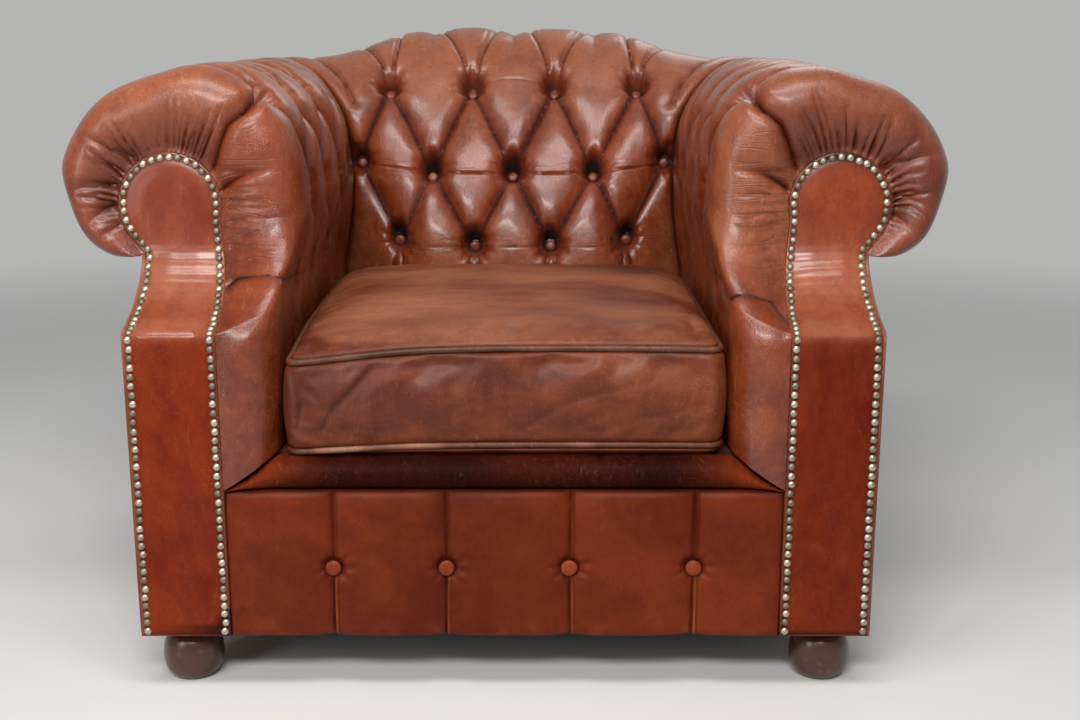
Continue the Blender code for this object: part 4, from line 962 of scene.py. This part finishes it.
def scatter(name, places, aims, piece, material, **values):
    """Set the piece on every place with the node tree above."""
    obj = new_piece(name, places, [], material)
    obj.data.attributes.new("aim", "FLOAT_VECTOR", "POINT").data.foreach_set("vector", np.ravel(aims))
    SET_ON_POINTS.run(obj, Piece=piece, Material=material, **values)
    bpy.data.objects.remove(piece)
    return obj


old_brass = Finish("old_brass", Metallic=1.0)
dull = old_brass.band(old_brass.noise(420.0, detail=4.0) * 0.55 + old_brass.attribute("tone") * 0.45, 0.30, 0.68)
old_brass.set(Base_Color=old_brass.blend(dull, (0.20, 0.17, 0.12), (0.52, 0.46, 0.35)),
              Roughness=0.56 - 0.18 * dull)

# The nails stand in a line just inside the facing's edge.
edge = facing_edge(0.0015)
edge = edge[edge[:, 1] > FOOT_H + 0.004]
across = np.gradient(edge, axis=0)
across /= np.linalg.norm(across, axis=1, keepdims=True)
x, z = (edge + NAIL_INSET * np.stack([across[:, 1], -across[:, 0]], axis=-1)).T
nail_line = np.stack([x, facing_y(z), z], axis=-1)
nail_line = even(nail_line, round(lengths(nail_line)[-1] / NAIL_PITCH), ends=0.003)
lean = facing_normal(nail_line[:, 2])
aims = np.stack([np.zeros(len(lean)), lean[:, 0], lean[:, 1]], axis=-1)
dome = [(0.0, -0.0005), (0.0043, -0.0005), *arc((0, 0), (NAIL_R, NAIL_H), (2, 18, 36, 54, 72)), (0.0, NAIL_H)]
for (word, side), seed in zip(SIDES, (3, 4)):
    chance = np.random.default_rng(seed)
    places = nail_line - 0.0006 * aims
    places[:, 0] += chance.normal(0, 0.00035, len(places))
    places[:, 2] += chance.normal(0, 0.00035, len(places))
    places[:, 0] *= side
    head = lathe("nail_head", dome, 16, old_brass.material)
    nails = scatter(f"nails_{word}", places, aims, head, old_brass.material, Tilt=0.10, Uneven=0.05, Seed=seed)
    finish_piece(nails, None)


# ------------------------------------------------------------------ outside arms and outside back
# Flat hides stretched over the frame from the facings round to the back, turned in at every edge and tacked
# underneath. They sag a little between the rails.
PANEL_OUT, PANEL_BACK, COVER_T = 0.4309, 0.345, 0.0034
plain_hide = hide("plain_hide", (0.150, 0.026, 0.008), (0.255, 0.052, 0.018), (0.380, 0.125, 0.058), polish=0.38)


def soft_edge(distance, width=0.006, depth=0.0022):
    """Depth lost where a cover rounds over at its edge."""
    return depth * round_over(unit(1 - distance / width))


def rim_of(at):
    """A grid's rim, once round."""
    return np.concatenate([at[0, :-1], at[:-1, -1], at[-1, :0:-1], at[:0:-1, 0]])


def thin_cover(name, node_name, front, thickness, material, **attributes):
    """A hide as a closed slab: the fine visible grid, and the same grid's edge set back by the thickness."""
    at = numbered(*front.shape[:2])
    loop = rim_of(at)
    back = front.reshape(-1, 3)[loop] + np.asarray(thickness)
    rim = at.size + np.arange(len(loop))
    cover = new_piece(name, np.vstack([front.reshape(-1, 3), back]),
                      quads(at) + quads(np.stack([loop, rim]), closed=True) + [rim.tolist()], material)
    add_attributes(cover, **attributes)
    turn_out(cover, sharp=60)
    finish_piece(cover, "leather", node_name)
    return cover


v, u = np.meshgrid(np.linspace(0, 1, 90), np.linspace(0, 1, 130), indexing="ij")
z = FOOT_H + GAP + v * (0.508 - FOOT_H)
ahead = facing_y(np.minimum(z, 0.498)) + 0.0016
y = ahead + u * (PANEL_BACK - ahead)
edges = np.minimum(np.minimum(u * 0.78, (1 - u) * 0.78), np.minimum(v, 1 - v) * 0.44)
for (word, side), seed in zip(SIDES, (41, 43)):
    points = np.stack([np.full_like(y, side * PANEL_OUT), y, z], axis=-1)
    sag = 0.0022 * np.sin(math.pi * u) * np.sin(math.pi * unit(v * 1.1))
    sag -= 0.0011 * lumps(points, 5.0, seed) + 0.0003 * lumps(points, 24.0, seed + 1)
    pull = np.exp(-v / 0.05) * 0.0004 * np.sin(u * 75 + 2 * lumps(points, 6.0, seed + 2))
    points[..., 0] -= side * (sag * unit(edges / 0.03) + soft_edge(edges) + pull)
    # The cut edge beside the facing is frayed pale where it sweeps back to the neck.
    fray = np.exp(-u * 0.78 / 0.0035) * unit((z - 0.36) / 0.08) * np.clip(1.1 + lumps(points, 70.0, seed), 0, 2)
    # Painted shade darkens each cover along its edges, where it turns in, except where it is frayed.
    thin_cover(f"outside_arm_cover_{word}", f"outside_arm_{word}", points, (-side * COVER_T, 0, 0), plain_hide,
               crease=unit(0.5 * np.exp(-edges / 0.0035) * (1 - fray)),
               wear=unit(0.10 + 0.25 * lumps(points, 7.0, seed + 3) + fray + 0.5 * np.exp(-v * 0.44 / 0.01)))

low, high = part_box("outside_back")
v, u = np.meshgrid(np.linspace(0, 1, 90), np.linspace(0, 1, 150), indexing="ij")
x = low.x + u * (high.x - low.x)
top = np.interp(np.abs(x), [0.120, 0.290, high.x], [0.538, 0.504, 0.502])
points = np.stack([x, np.full_like(x, high.y - 0.0006), low.z + v * (top - low.z)], axis=-1)
edges = np.minimum(np.minimum(u, 1 - u) * 0.86, np.minimum(v, 1 - v) * 0.45)
sag = 0.0025 * np.sin(math.pi * u) * np.sin(math.pi * v) - 0.0011 * lumps(points, 5.0, 47)
points[..., 1] -= sag * unit(edges / 0.03) + soft_edge(edges)
# Painted shade darkens its edges, where it turns in.
thin_cover("outside_back_cover", "outside_back", points, (0, -COVER_T, 0), plain_hide,
           crease=0.5 * np.exp(-edges / 0.0035), wear=unit(0.08 + 0.22 * lumps(points, 7.0, 48)))

# ------------------------------------------------------------------ front border
# A thinly padded strip between the facings with four upright pleats, sewn down at top and bottom. A button at
# mid height pulls each pleat in.
BORDER_END, BORDER_TOP = FACING_IN - GAP, 0.247
BORDER_FRONT, BORDER_BACK = -0.4364, -0.4202
BORDER_PLEATS = (-0.200, -0.068, 0.075, 0.220)
BORDER_BUTTON_Z = 0.154
border_hide = hide("border_hide", (0.120, 0.011, 0.002), (0.205, 0.026, 0.003), (0.400, 0.090, 0.028),
                   polish=0.33, grain_depth=0.0004, sheen=0.15, coat=0.0, scratch=0.12, mottled=0.3)
z, x = np.meshgrid(np.linspace(FOOT_H, BORDER_TOP - GAP, 90), np.linspace(-BORDER_END, BORDER_END, 521),
                   indexing="ij")
chance = np.random.default_rng(53)
pleats = []
for x_pleat in BORDER_PLEATS:
    upper, lower, _ = [x_pleat + chance.normal(0, 0.0012) for _ in range(3)]
    pleats.append(([(lower, FOOT_H), (x_pleat, BORDER_BUTTON_Z), (upper, BORDER_TOP)], 0.92, 0.052, 0))
pits = [(x_pleat, BORDER_BUTTON_Z, 0.0102, 0) for x_pleat in BORDER_PLEATS]
depth, crease = tufting(x, z, pits, pleats, full=0.0105, hood=1.05)
points = np.stack([x, np.full_like(x, BORDER_FRONT), z], axis=-1)
edges = np.minimum(BORDER_END - np.abs(x), np.minimum(z - FOOT_H, BORDER_TOP - z))
# Each pleat is a narrow pinch of hide that stands beside its fold line, rubbed pale below the button; the fold
# line beside it is painted dark as its shade.
clear = unit((np.abs(z - BORDER_BUTTON_Z) - 0.006) / 0.01)
pinch = np.zeros_like(x)
for path, *_ in pleats:
    line, heights = np.array(path).T
    off = x - np.interp(z, heights, line)
    ridge = bell((off - 0.0028) / 0.0014) * clear
    depth -= 0.0034 * ridge
    crease = np.maximum(crease * (1 - ridge), 0.7 * bell((off - 0.0056) / 0.0011) * clear)
    pinch += ridge * unit((BORDER_BUTTON_Z - z) / 0.02)
over = BORDER_TOP - z + 0.0030 * (0.5 + lumps(points, 7.0, 58))
depth += soft_edge(edges, 0.010, 0.0045) + 0.0030 * bell(over / 0.014)
depth += 0.0013 * (1 + lumps(points, 9.0, 54)) + 0.0003 * lumps(points, 30.0, 55)
points[..., 1] += depth
# The sewn edges are painted darker as their shade.
crease = np.maximum(0.9 * crease, 0.5 * np.exp(-edges / 0.004))
# Grease darkens the top of its middle, the whole middle is painted darker as shade, and its lower edge is
# scuffed.
grease_and_shade = bell((x + 0.01) / 0.19) * unit((z - 0.150) / 0.09) * unit(0.6 + lumps(points, 12.0, 56))
grease_and_shade = np.maximum(grease_and_shade, 0.74 * bell((x + 0.01) / 0.17))
scuff = np.exp(-(z - FOOT_H) / 0.012) * unit(lumps(points, 45.0, 57))
border = thin_cover("border", "front_border", points, (0, 0, 0), border_hide,
                    crease=unit(np.maximum(crease, 0.50 * grease_and_shade)), wear=unit(0.05 + 0.9 * scuff + 0.8 * pinch))
for vertex in list(border.data.vertices)[x.size:]:
    vertex.co.y = BORDER_BACK

# ------------------------------------------------------------------ rolled lip
# The edge roll under the cushion, dark and shiny from hands and knees, its colours painted darker still as the
# cushion's shadow. That painted shadow is deepest in the middle, and towards each facing the roll is painted
# paler where it ends. It thins out to a point at each facing.
lip_hide = hide("lip_hide", (0.022, 0.002, 0.001), (0.052, 0.006, 0.0015), (0.240, 0.034, 0.007), polish=0.36,
                sheen=0.05, coat=0.0)
x, turn = np.meshgrid(np.linspace(-BORDER_END, BORDER_END, 240), np.linspace(0, math.tau, 41)[:-1],
                      indexing="ij")
full = np.minimum(1.0, (BORDER_END - np.abs(x)) / 0.0602)
height = 0.001 + 0.0372 * full ** 1.05
points = np.stack([x, -0.411 - 0.0245 * np.cos(turn), BORDER_TOP + 0.0004 + height * (0.5 + 0.5 * np.sin(turn))],
                  axis=-1)
puff = full * (0.0012 * (lumps(points, 14.0, 61) - 0.4) + 0.0008 * lumps(points, 34.0, 64))
points[..., 1] -= puff * np.cos(turn)
points[..., 2] += puff * np.sin(turn) * (np.sin(turn) > 0)
at = numbered(*x.shape)
lip = new_piece("lip", points, [at[0].tolist(), at[-1].tolist(), *quads(at, closed=True)], lip_hide)
turn_out(lip)
# Painted shadow of the cushion over the middle of the roll; its ends are painted paler in the worn colour.
middle = unit(1.15 - (np.abs(x) / 0.28) ** 4)
add_attributes(lip, crease=unit(0.55 * middle * (0.8 + 0.5 * lumps(points, 9.0, 63))),
               wear=unit(0.3 * lumps(points, 9.0, 62) + 0.9 * (1 - middle)))
finish_piece(lip, "leather", "front_lip")

# ------------------------------------------------------------------ seat cushion
# A loose case of matte brown hide over a foam slab: top, underside and one border band, piped at both seams.
# The case is a little bigger than its filling, so the top and front crease softly, as the cloth solver finds.
CUSHION_X, CUSHION_FRONT, CUSHION_REAR = 0.2525, -0.415, 0.0875
CELLS = 64                      # of the cushion's grid along a side
CLOTH_FRAMES = 20
DRIFT = 0.008                   # the furthest the solver may move a point


def slump(x, y):
    """The worn cushion sits lower at its front left corner and crowns along its front edge."""
    corner = np.exp(-((x + CUSHION_X) ** 2 + (y - CUSHION_FRONT) ** 2) / 0.10 ** 2)
    tilt = unit((CUSHION_X - x) / (2 * CUSHION_X)) ** 2 * unit((-y - 0.10) / 0.30)
    return 0.003 * (1 - (x / CUSHION_X) ** 2) - 0.010 * corner - 0.006 * tilt


def cushion_loop(inset, count):
    """Outline of the cushion at an even step, anticlockwise from the middle of its front edge."""
    points = [(0.0, CUSHION_FRONT + inset)]
    for sx, sy, radius, begin in ((1, -1, 0.018, 270), (1, 1, 0.060, 0),
                                  (-1, 1, 0.060, 90), (-1, -1, 0.018, 180)):
        corner = (sx * (CUSHION_X - radius), (CUSHION_FRONT if sy < 0 else CUSHION_REAR) - sy * radius)
        points += arc(corner, (radius - inset, radius - inset), np.arange(begin, begin + 91, 6))
    return even(np.array(points + points[:1]), count + 1)[:-1]


def cushion_ring(inset):
    """The outline in as many steps as the grid's rim, half a side on, so that the corners fall together."""
    return np.roll(cushion_loop(inset, 4 * CELLS), CELLS // 2, axis=0)


def coons(loop):
    """Points inside a ring, as a grid whose rim is that ring."""
    t = np.linspace(0, 1, CELLS + 1)
    ring = np.vstack([loop, loop[:1]])
    south, east, north, west = [ring[k * CELLS:(k + 1) * CELLS + 1] for k in range(4)]
    north, west = north[::-1], west[::-1]
    u, v = t[None, :, None], t[:, None, None]
    sides = (1 - v) * south[None] + v * north[None] + (1 - u) * west[:, None] + u * east[:, None]
    corners = ((1 - v) * ((1 - u) * south[0] + u * south[-1]) + v * ((1 - u) * north[0] + u * north[-1]))
    return sides - corners


def positions(obj):
    return np.array([v.co[:] for v in obj.data.vertices])


# Rings of the case from its lower seam to its upper one: inset, height, and how far it follows the slump.
BANDS = [(0.0035, 0.2898, .1), (0.0012, 0.2920, .2), (0.0058, 0.2960, .5), (0.0058, 0.2990, .5),
         (0.0006, 0.3030, .5)]
BANDS += [(-0.0010 - 0.0036 * math.sin(math.pi * t), 0.3060 + 0.0955 * t, 0.5 + 0.5 * t)
          for t in np.linspace(0, 1, 15)]
BANDS += [(0.0020, 0.4050, 1), (0.0078, 0.4086, 1), (0.0080, 0.4115, 1), (0.0066, 0.4150, 1),
          (0.0100, 0.4180, 1)]
under = coons(cushion_ring(0.010))
under_at = numbered(CELLS + 1, CELLS + 1)
verts = [np.dstack([under, np.full(under.shape[:2], 0.2851)]).reshape(-1, 3)]
weights = [1.0] * under_at.size
rings = [rim_of(under_at)]
for k, (inset, z, follow) in enumerate(BANDS):
    x, y = cushion_ring(inset).T
    rings.append(under_at.size + k * len(x) + np.arange(len(x)))
    verts.append(np.stack([x, y, z + follow * slump(x, y)], axis=-1))
    seam = 1.0 if k < 6 or k > len(BANDS) - 6 else 0.0
    ahead = unit((CUSHION_FRONT + 0.03 - y) / 0.02) * (np.abs(x) < CUSHION_X - 0.012)
    weights += [max(seam, 1.0 - 0.97 * a) for a in ahead]
top = coons(cushion_ring(0.014))
top_at = numbered(CELLS + 1, CELLS + 1, first=len(weights))
u = np.linspace(-1, 1, CELLS + 1)
dome = ((1 - u[None, :] ** 2) * (1 - u[:, None] ** 2)) ** 0.5
verts.append(np.dstack([top, 0.4195 + slump(top[..., 0], top[..., 1]) + 0.0100 * dome]).reshape(-1, 3))
weights += np.where(np.isin(top_at, rim_of(top_at)), 0.6, 0.0).ravel().tolist()
rings.append(rim_of(top_at))
faces = [face[::-1] for face in quads(under_at)] + quads(np.array(rings[:-1]), closed=True)
faces += quads(top_at) + quads(np.array(rings[-2:]), closed=True)
cushion_hide = hide("cushion_hide", (0.100, 0.013, 0.003), (0.215, 0.042, 0.010), (0.410, 0.150, 0.066),
                    polish=0.44, grain_size=520.0, scratch=0.32, drag=(0.40, 1.0, 1.0), sheen=0.30, coat=0.06,
                    mottled=0.5)
cushion = new_piece("seat_cushion_case", np.vstack(verts), faces, cushion_hide)
turn_out(cushion)
pins = cushion.vertex_groups.new(name="seams")
for index, weight in enumerate(weights):
    if weight > 0:
        pins.add([index], weight, "REPLACE")
start = positions(cushion)
cloth = cushion.modifiers.new("cloth", "CLOTH")
for key, value in (("quality", 6), ("mass", 0.5), ("tension_stiffness", 28), ("compression_stiffness", 28),
                   ("shear_stiffness", 12), ("bending_stiffness", 0.25), ("vertex_group_mass", "seams"),
                   ("use_pressure", True), ("uniform_pressure_force", 4.0), ("shrink_min", -0.035)):
    setattr(cloth.settings, key, value)
cloth.settings.effector_weights.gravity = 0.0
cloth.collision_settings.use_self_collision = False
cloth.point_cache.frame_start, cloth.point_cache.frame_end = 1, CLOTH_FRAMES
for frame_number in range(1, CLOTH_FRAMES + 1):
    bpy.context.scene.frame_set(frame_number)
flatten(cushion)
# The solver is held to a few millimetres either way, and then the case is smoothed once.
moved = positions(cushion) - start
size = np.linalg.norm(moved, axis=1, keepdims=True)
shape = start + moved * np.minimum(1.0, DRIFT / np.maximum(size, 1e-9))
cushion.data.vertices.foreach_set("co", shape.ravel())
smooth = cushion.modifiers.new("smooth", "SUBSURF")
smooth.levels = smooth.render_levels = 1
flatten(cushion)
cushion.vertex_groups.clear()

points = positions(cushion)
x, y, z = points.T
on_top = unit((z - 0.412) / 0.006)
rear_right = np.exp(-(((x - 0.13) / 0.14) ** 2 + ((y - 0.02) / 0.11) ** 2))
streak = unit(0.25 + 1.3 * lumps(points * (1.0, 0.5, 1.0), 13.0, 71))
# Grease streaks darken the top, most at its rear right; at the top piping seam a line is painted dark as its
# shade; and the front and sides are darker than the top.
grease_and_shade = on_top * unit(0.9 * rear_right * streak + 0.35 * streak * unit((y + 0.1) / 0.2))
grease_and_shade = np.maximum(grease_and_shade, 0.45 * np.exp(-np.abs(z - slump(x, y) - 0.4105) / 0.0030))
grease_and_shade = np.maximum(grease_and_shade, 0.42 * (1 - on_top) * unit(0.4 + lumps(points, 9.0, 72)))
rub_and_highlight = on_top * (1 - grease_and_shade) * unit(0.50 + 0.8 * lumps(points, 10.0, 73))
# Soft creases run down its front from the corners and across it, where the case has stretched, each painted dark
# along its line as its shade.
front = unit((CUSHION_FRONT + 0.006 - y) / 0.006) * unit((z - 0.306) / 0.012) * unit((0.400 - z) / 0.012)
chance = np.random.default_rng(77)
lines = [([(-0.150, 0.392), (-0.195, 0.345), (-0.215, 0.312)], 1.0, 0.020, 0),
         ([(0.02, 0.318), (0.075, 0.352), (0.145, 0.372)], 0.55, 0.018, 0),
         ([(-0.246, 0.385), (-0.232, 0.350), (-0.240, 0.318)], 0.9, 0.010, 0),
         ([(0.10, 0.312), (0.15, 0.330), (0.215, 0.345)], 0.4, 0.014, 0)]
for _ in range(26):
    begin = (chance.uniform(-0.24, 0.20), chance.uniform(0.31, 0.385))
    lines.append(([begin, (begin[0] + chance.uniform(0.02, 0.07), begin[1] + chance.uniform(-0.006, 0.030))],
                  chance.uniform(0.08, 0.26), 0.008, 1))
for _ in range(9):
    begin = (chance.uniform(-0.249, -0.225), chance.uniform(0.315, 0.395))
    lines.append(([begin, (begin[0] + chance.uniform(0.01, 0.03), begin[1] - chance.uniform(0.0, 0.03))],
                  0.45, 0.007, 1))
dent, fold = tufting(x, z, [], lines, full=0.0045)
points[:, 1] += dent * front
cushion.data.vertices.foreach_set("co", points.ravel())
add_attributes(cushion, crease=unit(np.maximum(grease_and_shade, 0.9 * fold * front)) * 0.62,
               wear=unit(0.75 * rub_and_highlight + 0.05))
finish_piece(cushion, "cushion_leather", "seat_cushion")

# ------------------------------------------------------------------ cushion piping
# A cord in the same hide, sewn into each seam and rubbed dark. The lower one is pale where it is worn through.
CORD_R = 0.0037
piping_hide = hide("piping_hide", (0.070, 0.017, 0.007), (0.150, 0.040, 0.018), (0.420, 0.190, 0.110),
                   polish=0.36, sheen=0.30, coat=0.10)
cord_tree = Tree("piping_cord", Path="Geometry", Radius="Float", Material="Material")
path = cord_tree.add("GeometryNodeMeshToCurve", [("Mesh", cord_tree.inputs["Path"])])
ring = cord_tree.add("GeometryNodeCurvePrimitiveCircle", [("Radius", cord_tree.inputs["Radius"])],
                     [("Resolution", 12)])
tube = cord_tree.add("GeometryNodeCurveToMesh", [("Curve", path), ("Profile Curve", ring)])
cord_tree.finish(cord_tree.add("GeometryNodeSetShadeSmooth", [("Geometry", tube)]))
for node_name, inset, height, follow, bare in (("cushion_piping_top", 0.0042, 0.4102, 1.0, -0.25),
                                               ("cushion_piping_bottom", 0.0020, 0.2975, 0.5, 0.10)):
    x, y = cushion_loop(inset, 360).T
    at = np.arange(len(x))
    loop = np.stack([x, y, height + follow * slump(x, y)], axis=-1)
    cord = new_piece(node_name + "_cord", loop, [], piping_hide,
                     edges=np.stack([at, np.roll(at, -1)], axis=-1).tolist())
    cord_tree.run(cord, Radius=CORD_R, Material=piping_hide)
    points = positions(cord)
    rub_and_highlight = unit(lumps(points, 16.0, 75) * 1.2 + bare)
    add_attributes(cord, crease=np.full(len(points), 0.15), wear=rub_and_highlight * (points[:, 1] < CUSHION_FRONT + 0.03))
    finish_piece(cord, "cushion_leather", node_name)

# ------------------------------------------------------------------ buttons
# Leather-covered buttons: thirteen in the back and ten in each arm, pulled to the bottom of their pits by
# twine, and four on the pleats of the front border.
# The back's and arms' buttons take a darker hide than the border's, painted darker as the shade at the bottom of
# their pits.
button_hide = hide("button_hide", (0.120, 0.018, 0.007), (0.215, 0.036, 0.014), (0.330, 0.085, 0.040),
                   polish=0.34)


def covered_button(width=1.0, tall=1.0):
    """A domed button with the hide pleated in under its edge."""
    profile = [(0.0, 0.0), (0.0070, 0.0), (0.0088, 0.0010), (0.0095, 0.0026), (0.0091, 0.0044), (0.0078, 0.0060),
               (0.0056, 0.0070), (0.0030, 0.0075), (0.0, 0.0076)]
    piece = lathe("covered_button", profile, 36, button_hide)
    for vertex in piece.data.vertices:
        x, y, z = vertex.co
        a = math.atan2(y, x)
        pinch = 1 + 0.020 * math.sin(9 * a) * math.exp(-z / 0.003) + 0.015 * math.sin(2 * a + 1)
        vertex.co = (width * pinch * x, width * pinch * y, tall * z)
    return piece


def button_seats(surface, pulls, rows):
    """Where each button sits and which way it faces, from the rows and columns of a buttoned surface."""
    places, aims = [], []
    for row, columns in rows:
        for column in columns:
            point, normal, *_ = surface(np.array(float(row)), np.array(float(column)))
            places.append(point - (pulls[row] + 0.001) * normal)
            aims.append(normal)
    return np.array(places), np.array(aims)


BACK_ROWS = ((3, (-9, -3, 3, 9)), (6, (-14, -6, 0, 6, 14)), (9, (-9, -3, 3, 9)))
places, aims = button_seats(back_surface, BACK_PULL, BACK_ROWS)
back_buttons = scatter("back_buttons", places, aims, covered_button(0.84, 0.84), button_hide,
                       Tilt=0.12, Uneven=0.04, Seed=5)
finish_piece(back_buttons, "button_leather", *[f"back_button_{k:02d}" for k in range(1, 14)])
ARM_ROWS = [(row, REAR + np.array(columns)) for row, columns in ((9, (0, 6, 12, 18)), (6, (3, 9, 15)),
                                                                 (3, (6, 12, 18)))]
for word, side in SIDES:
    places, aims = button_seats(arm_surface, ARM_PULL, ARM_ROWS)
    arm_buttons = scatter(f"arm_buttons_{word}", places * (side, 1, 1), aims * (side, 1, 1), covered_button(),
                          button_hide, Tilt=0.12, Uneven=0.04, Seed=6 + side)
    finish_piece(arm_buttons, "button_leather")
border_button_hide = hide("border_button_hide", (0.190, 0.026, 0.006), (0.300, 0.046, 0.012),
                          (0.380, 0.100, 0.040), polish=0.42, sheen=0.25, coat=0.0)
places = np.array([(pleat, -0.4298, BORDER_BUTTON_Z) for pleat in BORDER_PLEATS])
border_buttons = scatter("border_buttons", places, np.tile((0.0, -1.0, 0.0), (4, 1)), covered_button(tall=0.62),
                         border_button_hide, Tilt=0.05, Uneven=0.03, Seed=8)
finish_piece(border_buttons, "button_leather", *[f"border_button_{k}" for k in range(1, 5)])

# ------------------------------------------------------------------ floor and studio light
# A plain pale floor that fades into an even pale background on every side, two wide soft lamps high in front and
# overhead, a low one at the left and a weak one behind.
FLOOR_R = 6.0


def background_ray(tree):
    """1 for the rays that look at the background: the camera's, mirrored ones and ones through glass."""
    rays = tree.nodes.new("ShaderNodeLightPath")
    seen, mirrored, through = [Socket(tree, rays.outputs[f"Is {kind} Ray"])
                               for kind in ("Camera", "Glossy", "Transmission")]
    return seen.math("MAXIMUM", mirrored).math("MAXIMUM", through)


studio = Finish("studio_floor", Roughness=0.85)
studio.set(Base_Color=studio.blend(background_ray(studio.tree), (0.45, 0.44, 0.43), (0.86, 0.85, 0.83)))
reach = studio.add("ShaderNodeVectorMath", {"operation": "LENGTH"}, {"Vector": studio.place}, output="Value")
studio.set(Alpha=studio.band(reach, 3.4, 1.3))
rim = [(x, y, 0.0) for x, y in arc((0.0, 0.0), (FLOOR_R, FLOOR_R), np.arange(48) * 7.5)]
stage = [new_piece("studio_floor", rim, [list(range(48))], studio.material)]
for name, place, aim, width, height, power in (
        ("key", (-0.2, -2.4, 1.9), (0.0, 0.0, 0.50), 1.5, 0.4, 42.0),
        ("fill", (-1.5, -1.9, 0.95), (0.1, -0.2, 0.45), 0.7, 0.9, 9.5),
        ("overhead", (-0.1, -1.15, 2.4), (0.0, 0.0, 0.45), 1.8, 0.5, 27.0),
        ("rear", (0.8, 1.6, 2.0), (0.0, 0.1, 0.60), 1.0, 1.0, 6.0)):
    data = bpy.data.lights.new(name, "AREA")
    data.shape = "RECTANGLE"
    data.size, data.size_y, data.energy = width, height, power
    lamp = bpy.data.objects.new(name, data)
    lamp.location = place
    lamp.rotation_euler = (Vector(aim) - Vector(place)).to_track_quat("-Z", "Y").to_euler()
    bpy.context.collection.objects.link(lamp)
    stage.append(lamp)
sky = bpy.data.worlds.new("studio")
sky.use_nodes = True
air = sky.node_tree
feed(air, air.nodes["Background"].inputs["Color"],
     mix_colour(air, background_ray(air), (0.11, 0.115, 0.12), (0.46, 0.46, 0.455)))
bpy.context.scene.world = sky
bpy.context.scene.view_settings.view_transform = "Standard"
